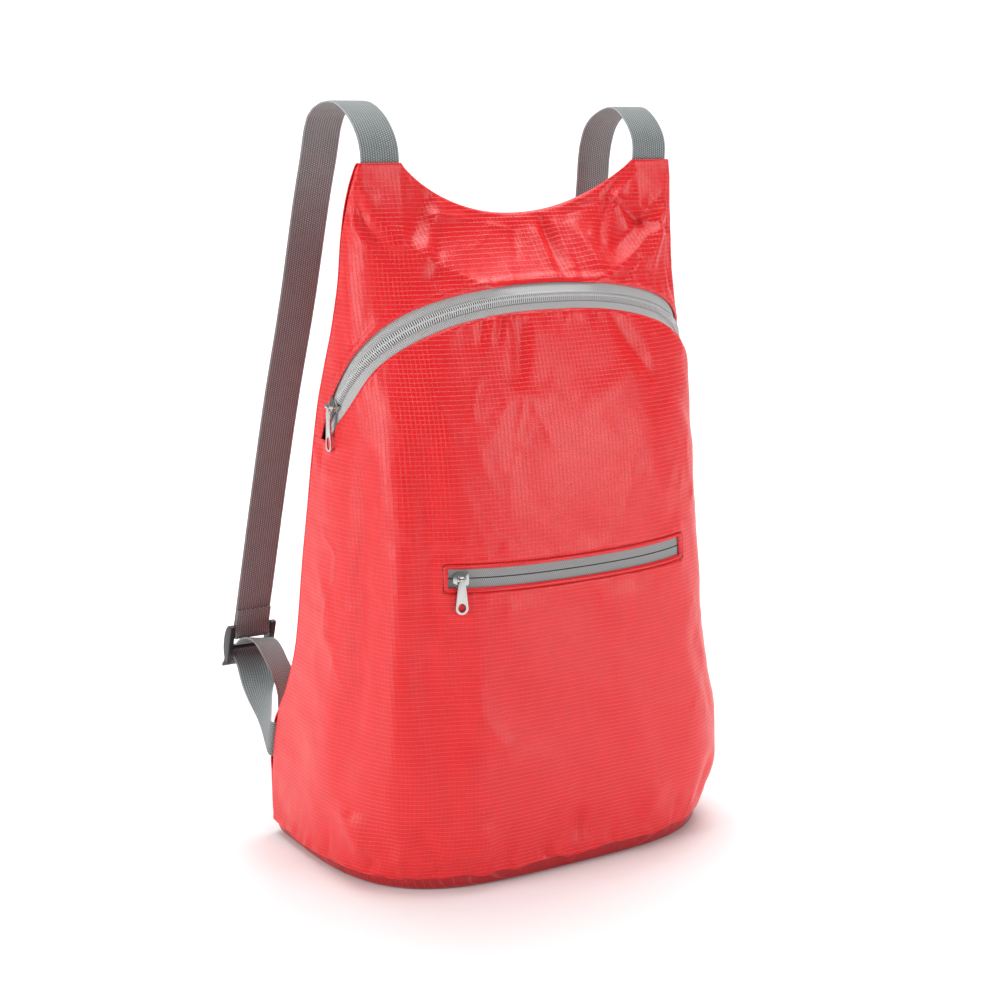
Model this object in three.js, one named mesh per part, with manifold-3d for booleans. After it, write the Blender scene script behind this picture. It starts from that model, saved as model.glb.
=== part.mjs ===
// Packable backpack of thin ripstop cloth, standing on its base.
// Millimetres, +Z up, front towards -Y, +X to the right seen from the front.
// The origin is the centre of the flat resting face under the base.

import * as THREE from 'three';
import { mergeVertices } from 'three/addons/utils/BufferGeometryUtils.js';
import Module from 'manifold-3d';

const wasm = await Module();
wasm.setup();

// Bag body
const bodyHeight = 430;
const bodyHalfWidth = 137.5;
const frontReach = 75;
const seamReach = 78;
const backSwell = 14;
const clothThickness = 1.3;
const seamGap = 0.35;
const neckHeight = 399;
const neckSpread = 0.76;
const neckPower = 2.1;
const closingHeight = 46;
const foldDepth = 5;

// Base panel
const baseRimHeight = 11.5;
const baseInset = 3.5;
const uprightReach = 20;

// Main zip arch
const archTopHeight = 358.5;
const archEndHeight = 268;
const archEndTurn = 84;
const zipWindow = 14.2;
const tapeThickness = 0.9;
const tapeTuck = 4;
const tapeGap = 0.5;
const tapeSeat = 0.45;
const coilWidth = 6;
const coilThickness = 1.7;
const mainSliderTurn = -76.5;

// Pocket zip
const pocketHalfWidth = 82;
const pocketHeight = 194;
const pocketSag = 2;
const pocketOpening = 11;
const pocketSliderInset = 7;

// Straps and ladder-lock buckles
const webbingWidth = 25;
const webbingThickness = 1.3;
const strapEdgeInset = 0.6;
const buckleInset = 23;
const leftBuckle = { out: bodyHalfWidth - buckleInset, back: 157.5, up: 103, lean: 20 };
const rightBuckle = { out: bodyHalfWidth - buckleInset, back: 138, up: 103, lean: 12 };
const barRadius = 1.3;
const webbingGap = 0.3;
const topBarRise = 9.5;
const lowBarDrop = 9.5;
const railThickness = 3.2;
const lipLength = 8.5;
const lipThickness = 1.6;
const lowerStrapHeight = 64;

// Zip pulls
const pinRadius = 0.6;
const eyeGap = 0.25;
const eyeWall = 0.75;
const eyeWidth = 2.6;
const postReach = 1.1;
const postRise = pinRadius + 0.4;
const postWall = 0.9;
const stemLength = Math.hypot(postReach, postRise) + eyeGap;
const pullThickness = 1.1;
const mainPull = { length: 27, neck: 3.8, end: 6.2, holeWidth: 4.2, holeLength: 8 };
const pocketPull = { length: 21, neck: 4.4, end: 7.6, holeWidth: 4.8, holeLength: 5.4 };

// Level sections of the body. height is a share of bodyHeight, width and shift are shares of
// bodyHalfWidth, front of frontReach, seam of seamReach and swell of backSwell; corner is the
// exponent of the superellipse that the front follows round from side seam to side seam.
const sections = [
  { height: 0.000, width: 0.965, shift: 0.012, front: -0.900, seam: 0.960, corner: 3.4, swell: 0.35 },
  { height: 0.028, width: 0.985, shift: 0.018, front: -0.930, seam: 0.990, corner: 3.7, swell: 0.45 },
  { height: 0.058, width: 0.989, shift: 0.022, front: -0.960, seam: 1.000, corner: 4.2, swell: 0.60 },
  { height: 0.109, width: 1.000, shift: 0.029, front: -0.987, seam: 0.987, corner: 4.5, swell: 0.75 },
  { height: 0.177, width: 0.996, shift: 0.029, front: -1.000, seam: 0.910, corner: 4.3, swell: 0.90 },
  { height: 0.240, width: 0.975, shift: 0.022, front: -1.000, seam: 0.718, corner: 3.8, swell: 1.00 },
  { height: 0.319, width: 0.953, shift: 0.015, front: -0.987, seam: 0.564, corner: 3.4, swell: 1.00 },
  { height: 0.442, width: 0.924, shift: 0.007, front: -0.960, seam: 0.487, corner: 3.3, swell: 0.95 },
  { height: 0.528, width: 0.909, shift: 0.004, front: -0.933, seam: 0.410, corner: 3.2, swell: 0.90 },
  { height: 0.616, width: 0.887, shift: 0.000, front: -0.880, seam: 0.353, corner: 3.2, swell: 0.80 },
  { height: 0.672, width: 0.873, shift: 0.000, front: -0.813, seam: 0.308, corner: 3.2, swell: 0.72 },
  { height: 0.716, width: 0.858, shift: 0.000, front: -0.733, seam: 0.256, corner: 3.1, swell: 0.65 },
  { height: 0.781, width: 0.844, shift: 0.000, front: -0.613, seam: 0.141, corner: 2.7, swell: 0.50 },
  { height: 0.844, width: 0.829, shift: 0.000, front: -0.480, seam: 0.077, corner: 2.7, swell: 0.38 },
  { height: 0.895, width: 0.822, shift: 0.000, front: -0.373, seam: 0.051, corner: 3.1, swell: 0.30 },
  { height: 0.930, width: 0.815, shift: 0.000, front: -0.307, seam: 0.013, corner: 3.6, swell: 0.24 },
  { height: 0.965, width: 0.804, shift: 0.000, front: -0.280, seam: -0.038, corner: 4.0, swell: 0.20 },
  { height: 0.986, width: 0.793, shift: 0.000, front: -0.267, seam: -0.077, corner: 4.0, swell: 0.16 },
  { height: 1.000, width: 0.782, shift: 0.000, front: -0.267, seam: -0.103, corner: 4.0, swell: 0.12 },
];

// Folds of the front cloth: each runs from one place to another, given by turn (share of the
// quarter turn from the middle to a side seam) and height (share of bodyHeight). width is a
// share of bodyHalfWidth and depth of foldDepth, negative for a dent.
const folds = [
  { turn0: -0.72, height0: 0.955, turn1: -0.50, height1: 0.860, width: 0.060, depth: -0.55 },
  { turn0: -0.62, height0: 0.940, turn1: -0.30, height1: 0.860, width: 0.045, depth: 0.35 },
  { turn0: 0.52, height0: 0.940, turn1: 0.30, height1: 0.870, width: 0.045, depth: -0.90 },
  { turn0: 0.60, height0: 0.950, turn1: 0.45, height1: 0.840, width: 0.040, depth: 0.70 },
  { turn0: 0.68, height0: 0.960, turn1: 0.62, height1: 0.810, width: 0.045, depth: -0.80 },
  { turn0: 0.20, height0: 0.915, turn1: 0.24, height1: 0.845, width: 0.040, depth: 0.50 },
  { turn0: 0.10, height0: 0.915, turn1: 0.13, height1: 0.850, width: 0.040, depth: -0.45 },
  { turn0: 0.40, height0: 0.770, turn1: 0.66, height1: 0.700, width: 0.060, depth: 0.60 },
  { turn0: -0.12, height0: 0.790, turn1: -0.16, height1: 0.700, width: 0.040, depth: -0.50 },
  { turn0: 0.24, height0: 0.785, turn1: 0.34, height1: 0.690, width: 0.045, depth: -0.60 },
  { turn0: -0.52, height0: 0.640, turn1: -0.50, height1: 0.180, width: 0.070, depth: 0.70 },
  { turn0: -0.66, height0: 0.600, turn1: -0.64, height1: 0.120, width: 0.060, depth: -0.80 },
  { turn0: -0.36, height0: 0.400, turn1: -0.38, height1: 0.080, width: 0.060, depth: -0.50 },
  { turn0: 0.60, height0: 0.560, turn1: 0.58, height1: 0.200, width: 0.060, depth: -0.50 },
  { turn0: -0.62, height0: 0.110, turn1: -0.56, height1: 0.050, width: 0.055, depth: 0.80 },
  { turn0: -0.44, height0: 0.110, turn1: -0.42, height1: 0.045, width: 0.045, depth: -0.80 },
  { turn0: -0.30, height0: 0.100, turn1: -0.28, height1: 0.040, width: 0.045, depth: 0.60 },
  { turn0: 0.00, height0: 0.090, turn1: 0.01, height1: 0.040, width: 0.045, depth: -0.50 },
  { turn0: 0.26, height0: 0.110, turn1: 0.24, height1: 0.045, width: 0.050, depth: 0.60 },
  { turn0: 0.46, height0: 0.120, turn1: 0.44, height1: 0.045, width: 0.045, depth: -0.80 },
];

// Monotone cubic through one column of the section table.
function sectionValue(column, height) {
  const at = THREE.MathUtils.clamp(height / bodyHeight, 0, 1);
  const last = sections.length - 1;
  let row = 0;
  while (row < last - 1 && at > sections[row + 1].height) row += 1;
  const slopeOf = (i) => {
    if (i < 0 || i >= last) return null;
    return (sections[i + 1][column] - sections[i][column]) / (sections[i + 1].height - sections[i].height);
  };
  const tangentOf = (i) => {
    const before = slopeOf(i - 1) ?? slopeOf(i);
    const after = slopeOf(i) ?? slopeOf(i - 1);
    return before * after <= 0 ? 0 : (2 * before * after) / (before + after);
  };
  const span = sections[row + 1].height - sections[row].height;
  const t = (at - sections[row].height) / span;
  const a = sections[row][column];
  const b = sections[row + 1][column];
  const ma = tangentOf(row) * span;
  const mb = tangentOf(row + 1) * span;
  return (2 * t ** 3 - 3 * t ** 2 + 1) * a + (t ** 3 - 2 * t ** 2 + t) * ma
    + (3 * t ** 2 - 2 * t ** 3) * b + (t ** 3 - t ** 2) * mb;
}

function sectionAt(height) {
  return {
    width: sectionValue('width', height) * bodyHalfWidth,
    shift: sectionValue('shift', height) * bodyHalfWidth,
    front: sectionValue('front', height) * frontReach,
    seam: sectionValue('seam', height) * seamReach,
    corner: sectionValue('corner', height),
    swell: sectionValue('swell', height) * backSwell,
  };
}

// Where a turn, in degrees from the middle of the front, meets a superellipse section.
function cornerShares(turn, corner) {
  const across = Math.sin(THREE.MathUtils.degToRad(turn));
  const along = Math.max(Math.cos(THREE.MathUtils.degToRad(turn)), 0);
  const radius = (Math.abs(across) ** corner + along ** corner) ** (-1 / corner);
  return { across: across * radius, along: along * radius };
}

// Height of the neckline and shoulder tips over a share of the half width.
function topHeight(share) {
  return neckHeight + (bodyHeight - neckHeight) * Math.min(Math.abs(share) / neckSpread, 1) ** neckPower;
}

// The shoulder tips stay open far enough for the webbing between the two layers.
const slitOpening = webbingThickness / 2 + webbingGap;
const slitReach = webbingWidth / 2 + 1.8;
const tipHalfWidth = sections[sections.length - 1].width * bodyHalfWidth;
const strapSpread = tipHalfWidth - webbingWidth / 2 - strapEdgeInset;
const tipShare = strapSpread / tipHalfWidth;
const tipSpread = webbingWidth / 2 / tipHalfWidth;
function tipOpening(share, height) {
  const aside = Math.abs(Math.abs(share) - tipShare) / tipSpread;
  const below = (bodyHeight - height) / (0.1 * bodyHeight);
  const reach = 1 - THREE.MathUtils.smoothstep(aside, 1, 1.45);
  return slitOpening * reach * (1 - THREE.MathUtils.smoothstep(below, 0.6, 1));
}

// The side seams open in the same way, a little wider, where the lower straps are sewn in.
function seamOpening(height) {
  const away = Math.abs(height - lowerStrapHeight);
  return 1.25 * slitOpening * (1 - THREE.MathUtils.smoothstep(away, slitReach + 0.5, slitReach + 8));
}

function closing(share, height) {
  return THREE.MathUtils.clamp((topHeight(share) - height) / closingHeight, 0, 1) ** 0.8;
}

function foldOffset(turn, height) {
  const arc = bodyHalfWidth * 1.35;
  const u = (turn / 90) * arc;
  let offset = 0;
  for (const fold of folds) {
    const startU = fold.turn0 * arc;
    const startV = fold.height0 * bodyHeight;
    const runU = fold.turn1 * arc - startU;
    const runV = fold.height1 * bodyHeight - startV;
    const along = ((u - startU) * runU + (height - startV) * runV) / (runU ** 2 + runV ** 2);
    const t = THREE.MathUtils.clamp(along, 0, 1);
    const away = Math.hypot(u - startU - t * runU, height - startV - t * runV);
    offset += fold.depth * foldDepth * Math.exp(-((away / (fold.width * bodyHalfWidth)) ** 2));
  }
  const sideFade = 1 - THREE.MathUtils.smoothstep(Math.abs(turn), 72, 86);
  const topFade = THREE.MathUtils.smoothstep(topHeight(cornerShares(turn, 4).across) - height, 0, 12);
  const baseFade = THREE.MathUtils.smoothstep(height, baseRimHeight, baseRimHeight + 14);
  return offset * sideFade * topFade * baseFade;
}

// Inner face of the front cloth, before its folds.
function plainFront(turn, height) {
  const row = sectionAt(height);
  const { across, along } = cornerShares(turn, row.corner);
  const depth = (row.seam - row.front) * along * closing(across, height);
  const opening = tipOpening(across, height)
    + seamOpening(height) * THREE.MathUtils.smoothstep(Math.abs(turn), 60, 90);
  return new THREE.Vector3(row.shift + row.width * across, row.seam - depth - opening, height);
}

function frontNormal(turn, height) {
  const turnStep = 0.4;
  const heightStep = 1;
  const low = Math.max(height - heightStep, 0);
  const high = Math.min(height + heightStep, topHeight(cornerShares(turn, 4).across));
  const level = plainFront(Math.min(turn + turnStep, 90), height)
    .sub(plainFront(Math.max(turn - turnStep, -90), height));
  const rise = plainFront(turn, high).sub(plainFront(turn, low));
  const normal = level.cross(rise).normalize();
  // The wall stands upright where it meets the base, so that its lower edge stays level, and
  // lies flat with rounded ends where the two layers close at the shoulder tips.
  normal.z *= THREE.MathUtils.smoothstep(height, baseRimHeight + seamGap, baseRimHeight + uprightReach);
  const { across } = cornerShares(turn, sectionAt(height).corner);
  const rounded = THREE.MathUtils.smoothstep(closing(across, height), 0.05, 0.5);
  const facing = Math.sign(turn) * (Math.PI / 2) * THREE.MathUtils.smoothstep(Math.abs(turn), 65, 90);
  const flat = new THREE.Vector3(Math.sin(facing), -Math.cos(facing), 0);
  return flat.lerp(normal.normalize(), rounded).normalize();
}

// A place on the front, a chosen distance outside the inner face of the cloth.
function frontPoint(turn, height, offset = 0) {
  const normal = frontNormal(turn, height);
  return plainFront(turn, height).addScaledVector(normal, offset + foldOffset(turn, height));
}

// Back cloth, by share of the half width; it covers the ends of the front cloth.
function backPoint(share, height, offset) {
  const row = sectionAt(height);
  const reach = row.width + clothThickness;
  const inside = Math.max(1 - Math.abs(share) ** 2.4, 0);
  const swell = row.swell * inside * closing(share, height);
  const opening = tipOpening(share, height)
    + seamOpening(height) * THREE.MathUtils.smoothstep(Math.abs(share), 0.75, 1);
  return new THREE.Vector3(row.shift + reach * share, row.seam + seamGap + swell + opening + offset, height);
}

// The turn at which the front reaches a given X at a given height.
function turnAtX(x, height) {
  let low = -89;
  let high = 89;
  for (let step = 0; step < 40; step += 1) {
    const middle = (low + high) / 2;
    if (plainFront(middle, height).x < x) low = middle;
    else high = middle;
  }
  return (low + high) / 2;
}

// Columns that the front cloth, the yoke and the zips share, so that they follow each other.
const pocketLeftTurn = turnAtX(-pocketHalfWidth, pocketHeight);
const pocketRightTurn = turnAtX(pocketHalfWidth, pocketHeight);
const columnsBeside = 10;
const columnsAcross = 16;
const panelTurns = [
  ...Array.from({ length: columnsBeside }, (_, i) => -90 + ((pocketLeftTurn + 90) * i) / columnsBeside),
  ...Array.from({ length: columnsAcross }, (_, i) => (
    pocketLeftTurn + ((pocketRightTurn - pocketLeftTurn) * i) / columnsAcross)),
  ...Array.from({ length: columnsBeside + 1 }, (_, i) => (
    pocketRightTurn + ((90 - pocketRightTurn) * i) / columnsBeside)),
];

function turnsBetween(start, end) {
  const margin = 0.5;
  return [start, ...panelTurns.filter((turn) => turn > start + margin && turn < end - margin), end];
}

function archEdge(turn, apex, endTurn, turnPower, heightPower) {
  const reach = Math.min(Math.abs(turn) / endTurn, 1);
  return archEndHeight + (apex - archEndHeight) * (1 - reach ** turnPower) ** (1 / heightPower);
}

function archUpper(turn) {
  return archEdge(turn, archTopHeight, archEndTurn, 2.4, 1.6) + seamGap / 2;
}

function archLower(turn) {
  return archEdge(turn, archTopHeight - zipWindow, archEndTurn - 4, 2.6, 1.02) - seamGap / 2;
}

function archMiddle(turn) {
  return (archUpper(turn) + archLower(turn)) / 2;
}

// Slant of the arch, as the length of its edge over a level step.
function archStretch(turn) {
  const step = 1;
  const reach = Math.min(Math.abs(turn), archEndTurn - 2 * step);
  const a = plainFront(reach - step, archMiddle(reach - step));
  const b = plainFront(reach + step, archMiddle(reach + step));
  const level = Math.hypot(a.x - b.x, a.y - b.y);
  return Math.hypot(level, a.z - b.z) / level;
}

// Turns the corner points of faces into one closed, indexed geometry.
function solidFrom(points, faces) {
  const positions = new Float32Array(points.flatMap((p) => [p.x, p.y, p.z]));
  const geometry = new THREE.BufferGeometry();
  geometry.setAttribute('position', new THREE.BufferAttribute(positions, 3));
  geometry.setIndex(faces.flat());
  geometry.computeVertexNormals();
  return geometry;
}

function addQuad(faces, a, b, c, d) {
  faces.push([a, b, c], [a, c, d]);
}

// A cloth wall between two grids of places, with some cells left open. The cells of one half
// are cut along mirrored diagonals, and both faces of the wall along the same ones.
function wallSolid(inner, outer, isOpen = () => false) {
  const columns = inner.length;
  const rows = inner[0].length;
  const points = [...inner.flat(), ...outer.flat()];
  const layer = columns * rows;
  const id = (i, j, side) => side * layer + i * rows + j;
  const kept = (i, j) => i >= 0 && j >= 0 && i < columns - 1 && j < rows - 1 && !isOpen(i, j);
  const faces = [];
  for (let i = 0; i < columns - 1; i += 1) {
    for (let j = 0; j < rows - 1; j += 1) {
      if (!kept(i, j)) continue;
      if (i < (columns - 1) / 2) {
        addQuad(faces, id(i, j, 1), id(i + 1, j, 1), id(i + 1, j + 1, 1), id(i, j + 1, 1));
        addQuad(faces, id(i, j, 0), id(i, j + 1, 0), id(i + 1, j + 1, 0), id(i + 1, j, 0));
      } else {
        addQuad(faces, id(i + 1, j, 1), id(i + 1, j + 1, 1), id(i, j + 1, 1), id(i, j, 1));
        addQuad(faces, id(i, j + 1, 0), id(i + 1, j + 1, 0), id(i + 1, j, 0), id(i, j, 0));
      }
      if (!kept(i, j - 1)) addQuad(faces, id(i, j, 0), id(i + 1, j, 0), id(i + 1, j, 1), id(i, j, 1));
      if (!kept(i, j + 1)) {
        addQuad(faces, id(i + 1, j + 1, 0), id(i, j + 1, 0), id(i, j + 1, 1), id(i + 1, j + 1, 1));
      }
      if (!kept(i - 1, j)) addQuad(faces, id(i, j + 1, 0), id(i, j, 0), id(i, j, 1), id(i, j + 1, 1));
      if (!kept(i + 1, j)) {
        addQuad(faces, id(i + 1, j, 0), id(i + 1, j + 1, 0), id(i + 1, j + 1, 1), id(i + 1, j, 1));
      }
    }
  }
  return solidFrom(points, faces);
}

// A wall on the front, from a grid of turn and height.
function frontWall(places, low, high, isOpen) {
  const inner = places.map((column) => column.map((at) => frontPoint(at.turn, at.height, low)));
  const outer = places.map((column) => column.map((at) => frontPoint(at.turn, at.height, high)));
  return wallSolid(inner, outer, isOpen);
}

const clothLook = { color: 0xe2242e, roughness: 0.6, metalness: 0 };
const baseLook = { color: 0xb3141c, roughness: 0.65, metalness: 0 };
const webbingLook = { color: 0x8c8c8e, roughness: 0.85, metalness: 0 };
const tapeLook = { color: 0xb2b4b4, roughness: 0.8, metalness: 0 };
const pocketTapeLook = { color: 0x808282, roughness: 0.75, metalness: 0 };
const coilLook = { color: 0xa6a8a8, roughness: 0.5, metalness: 0 };
const metalLook = { color: 0xd2d2d0, roughness: 0.25, metalness: 1 };
const buckleLook = { color: 0x464648, roughness: 0.5, metalness: 0 };

const backpack = new THREE.Group();
backpack.name = 'packable_backpack';

function addPiece(name, geometry, look) {
  const mesh = new THREE.Mesh(geometry, new THREE.MeshStandardMaterial(look));
  mesh.name = name;
  backpack.add(mesh);
  return mesh;
}

function pocketLevel(turn) {
  return pocketHeight - pocketSag * Math.max(1 - (turn / pocketRightTurn) ** 2, 0);
}

// Lower front cloth, from the base rim to the zip arch, with the pocket's opening.
const rowsToSlit = 3;
const rowsToPocket = 5;
const rowsToArch = 6;
const yokeRows = 7;
const rowsBelowPocket = rowsToSlit + 2 + rowsToPocket;
const wallBottom = baseRimHeight + seamGap;

function evenSteps(from, to, count) {
  return Array.from({ length: count + 1 }, (_, j) => from + ((to - from) * j) / count);
}

function frontHeights(turn) {
  const low = pocketLevel(turn) - pocketOpening / 2;
  const high = pocketLevel(turn) + pocketOpening / 2;
  const tuck = archLower(turn) - tapeTuck * archStretch(turn);
  return [
    ...evenSteps(wallBottom, lowerStrapHeight - slitReach, rowsToSlit),
    lowerStrapHeight,
    ...evenSteps(lowerStrapHeight + slitReach, low, rowsToPocket),
    ...evenSteps(high, tuck, rowsToArch),
    archLower(turn),
  ];
}

function isPocketOpening(column, row) {
  return row === rowsBelowPocket && column >= columnsBeside && column < columnsBeside + columnsAcross;
}

const frontPlaces = panelTurns.map((turn) => frontHeights(turn).map((height) => ({ turn, height })));
addPiece('front_panel', frontWall(frontPlaces, 0, clothThickness, isPocketOpening), clothLook);

// Yoke: the cloth above the zip arch, up to the neckline and shoulder tips.
function yokeHeights(turn) {
  const top = topHeight(cornerShares(turn, sections[sections.length - 1].corner).across);
  const tuck = archUpper(turn) + tapeTuck * archStretch(turn);
  return [archUpper(turn), ...evenSteps(tuck, top, yokeRows - 1)];
}

const yokePlaces = panelTurns.map((turn) => yokeHeights(turn).map((height) => ({ turn, height })));
addPiece('yoke_panel', frontWall(yokePlaces, 0, clothThickness), clothLook);

// Back cloth, one piece from the base rim to the neckline; its rows meet those of the front at
// the side seams.
const backColumns = 14;

function backPanel() {
  const seamHeights = [...frontHeights(90).slice(0, -1), ...yokeHeights(90)];
  const rise = bodyHeight - wallBottom;
  const inner = [];
  const outer = [];
  for (let i = 0; i <= backColumns; i += 1) {
    const share = Math.sin((Math.PI / 2) * (1 - (2 * i) / backColumns));
    const squeeze = (topHeight(share) - wallBottom) / rise;
    const heights = seamHeights.map((height) => wallBottom + (height - wallBottom) * squeeze);
    inner.push(heights.map((height) => backPoint(share, height, 0)));
    outer.push(heights.map((height) => backPoint(share, height, clothThickness)));
  }
  return wallSolid(inner, outer);
}
addPiece('back_panel', backPanel(), clothLook);

// Base: a shallow tray with a flat underside, turned up to meet the walls.
function rimOutline(height) {
  const row = sectionAt(height);
  const outline = [];
  for (const turn of panelTurns) {
    outline.push(plainFront(turn, height).addScaledVector(frontNormal(turn, height), clothThickness));
  }
  const backCount = 12;
  for (let i = 0; i <= backCount; i += 1) {
    const share = 1 - (2 * i) / backCount;
    outline.push(backPoint(share, height, clothThickness));
  }
  return { outline, centre: new THREE.Vector3(row.shift, (row.front + row.seam) / 2, 0) };
}

function basePanel() {
  const { outline, centre } = rimOutline(baseRimHeight + seamGap);
  const halfDepth = (frontReach + seamReach) / 2;
  const ring = (inset, height) => outline.map((p) => {
    const share = 1 - inset / halfDepth;
    return new THREE.Vector3(
      centre.x + (p.x - centre.x) * (1 - inset / bodyHalfWidth),
      centre.y + (p.y - centre.y) * share,
      height,
    );
  });
  const rings = [
    ring(0, baseRimHeight),
    ring(0.08 * baseInset, 0.6 * baseRimHeight),
    ring(0.32 * baseInset, 0.25 * baseRimHeight),
    ring(baseInset, 0),
    ring(baseInset + clothThickness, clothThickness),
    ring(0.32 * baseInset + clothThickness, 0.25 * baseRimHeight + clothThickness),
    ring(0.08 * baseInset + clothThickness, 0.6 * baseRimHeight + clothThickness / 2),
    ring(clothThickness, baseRimHeight),
  ];
  const count = outline.length;
  const points = rings.flat();
  const faces = [];
  for (let k = 0; k < rings.length; k += 1) {
    const next = (k + 1) % rings.length;
    if (k === 3) continue;
    for (let i = 0; i < count; i += 1) {
      const j = (i + 1) % count;
      addQuad(faces, k * count + i, next * count + i, next * count + j, k * count + j);
    }
  }
  const under = points.push(new THREE.Vector3(centre.x, centre.y, 0)) - 1;
  const over = points.push(new THREE.Vector3(centre.x, centre.y, clothThickness)) - 1;
  for (let i = 0; i < count; i += 1) {
    const j = (i + 1) % count;
    faces.push([under, 3 * count + j, 3 * count + i]);
    faces.push([over, 4 * count + i, 4 * count + j]);
  }
  return solidFrom(points, faces);
}
addPiece('base_panel', basePanel(), baseLook);

// Main zip: two tapes tucked under the cloth edges and the coil that joins them.
const tapeTop = -tapeSeat;
const tapeUnder = tapeTop - tapeThickness;

function tapePlaces(edge, sign) {
  const endTurn = archEndTurn - 2;
  return turnsBetween(-endTurn, endTurn).map((turn) => {
    const stretch = archStretch(turn);
    const heights = [
      archMiddle(turn) + sign * (tapeGap / 2) * stretch,
      archMiddle(turn) + sign * (coilWidth / 2) * stretch,
      edge(turn),
      edge(turn) + sign * tapeTuck * stretch,
    ];
    heights.sort((a, b) => a - b);
    return heights.map((height) => ({ turn, height }));
  });
}
addPiece('main_zip_tape_upper', frontWall(tapePlaces(archUpper, 1), tapeUnder, tapeTop), tapeLook);
addPiece('main_zip_tape_lower', frontWall(tapePlaces(archLower, -1), tapeUnder, tapeTop), tapeLook);

function mainCoilPlaces() {
  return turnsBetween(mainSliderTurn - 1, archEndTurn - 5).map((turn) => {
    const half = (coilWidth / 2) * archStretch(turn);
    return [-half, 0, half].map((side) => ({ turn, height: archMiddle(turn) + side }));
  });
}
addPiece('main_zip_coil', frontWall(mainCoilPlaces(), 0, coilThickness), coilLook);

// Pocket zip: two tapes behind the opening that meet along its middle, coil on their inside.
function pocketStrip(lowOf, highOf, under, top) {
  const reach = pocketHalfWidth + tapeTuck;
  const turns = turnsBetween(turnAtX(-reach, pocketHeight), turnAtX(reach, pocketHeight));
  const places = turns.map((turn) => [lowOf(turn), highOf(turn)].map((height) => ({ turn, height })));
  return frontWall(places, under, top);
}
const pocketHalf = pocketOpening / 2;
addPiece('pocket_zip_tape_upper', pocketStrip(
  (turn) => pocketLevel(turn) + tapeGap / 2,
  (turn) => pocketLevel(turn) + pocketHalf + tapeTuck,
  tapeUnder,
  tapeTop,
), pocketTapeLook);
addPiece('pocket_zip_tape_lower', pocketStrip(
  (turn) => pocketLevel(turn) - pocketHalf - tapeTuck,
  (turn) => pocketLevel(turn) - tapeGap / 2,
  tapeUnder,
  tapeTop,
), pocketTapeLook);
addPiece('pocket_zip_coil', pocketStrip(
  (turn) => pocketLevel(turn) - coilWidth / 2,
  (turn) => pocketLevel(turn) + coilWidth / 2,
  tapeUnder - seamGap - coilThickness,
  tapeUnder - seamGap,
), coilLook);

// Solids for joining: a three.js geometry as a manifold, and back.
function toManifold(geometry) {
  const bare = geometry.index ? geometry.toNonIndexed() : geometry.clone();
  bare.deleteAttribute('normal');
  bare.deleteAttribute('uv');
  const merged = mergeVertices(bare, 1e-4);
  return new wasm.Manifold(new wasm.Mesh({
    numProp: 3,
    vertProperties: new Float32Array(merged.attributes.position.array),
    triVerts: new Uint32Array(merged.index.array),
  }));
}

function fromManifold(solid) {
  const mesh = solid.getMesh();
  const geometry = new THREE.BufferGeometry();
  geometry.setAttribute('position', new THREE.BufferAttribute(new Float32Array(mesh.vertProperties), 3));
  geometry.setIndex([...mesh.triVerts]);
  geometry.computeVertexNormals();
  return geometry;
}

function joined(geometries) {
  return fromManifold(geometries.map(toManifold).reduce((whole, piece) => whole.add(piece)));
}

// A flat outline given a thickness, centred on its plane.
function plate(shape, thickness, curveSegments = 8) {
  const geometry = new THREE.ExtrudeGeometry(shape, { depth: thickness, bevelEnabled: false, curveSegments });
  return geometry.translate(0, 0, -thickness / 2);
}

// A round bar along X.
function barAlongX(radius, length, sides = 12) {
  return new THREE.CylinderGeometry(radius, radius, length, sides).rotateZ(Math.PI / 2);
}

// A box given by its two corners.
function boxBetween(x0, x1, y0, y1, z0, z1) {
  return new THREE.BoxGeometry(x1 - x0, y1 - y0, z1 - z0)
    .translate((x0 + x1) / 2, (y0 + y1) / 2, (z0 + z1) / 2);
}

// Zip slider in its own axes: X along the pin, Y up the cloth, Z out of it; the origin is on
// the inner face of the cloth. The body lies along the zip, turned by slant.
const sliderRoofUnder = coilThickness + seamGap;
const sliderRoof = 1.2;
const sliderLength = 9.5;
const sliderWidth = 8;
const flangeFoot = 0.1;
const eyeRadius = pinRadius + eyeGap + eyeWall;
const pinHeight = sliderRoofUnder + sliderRoof + eyeRadius + 0.35;

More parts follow.
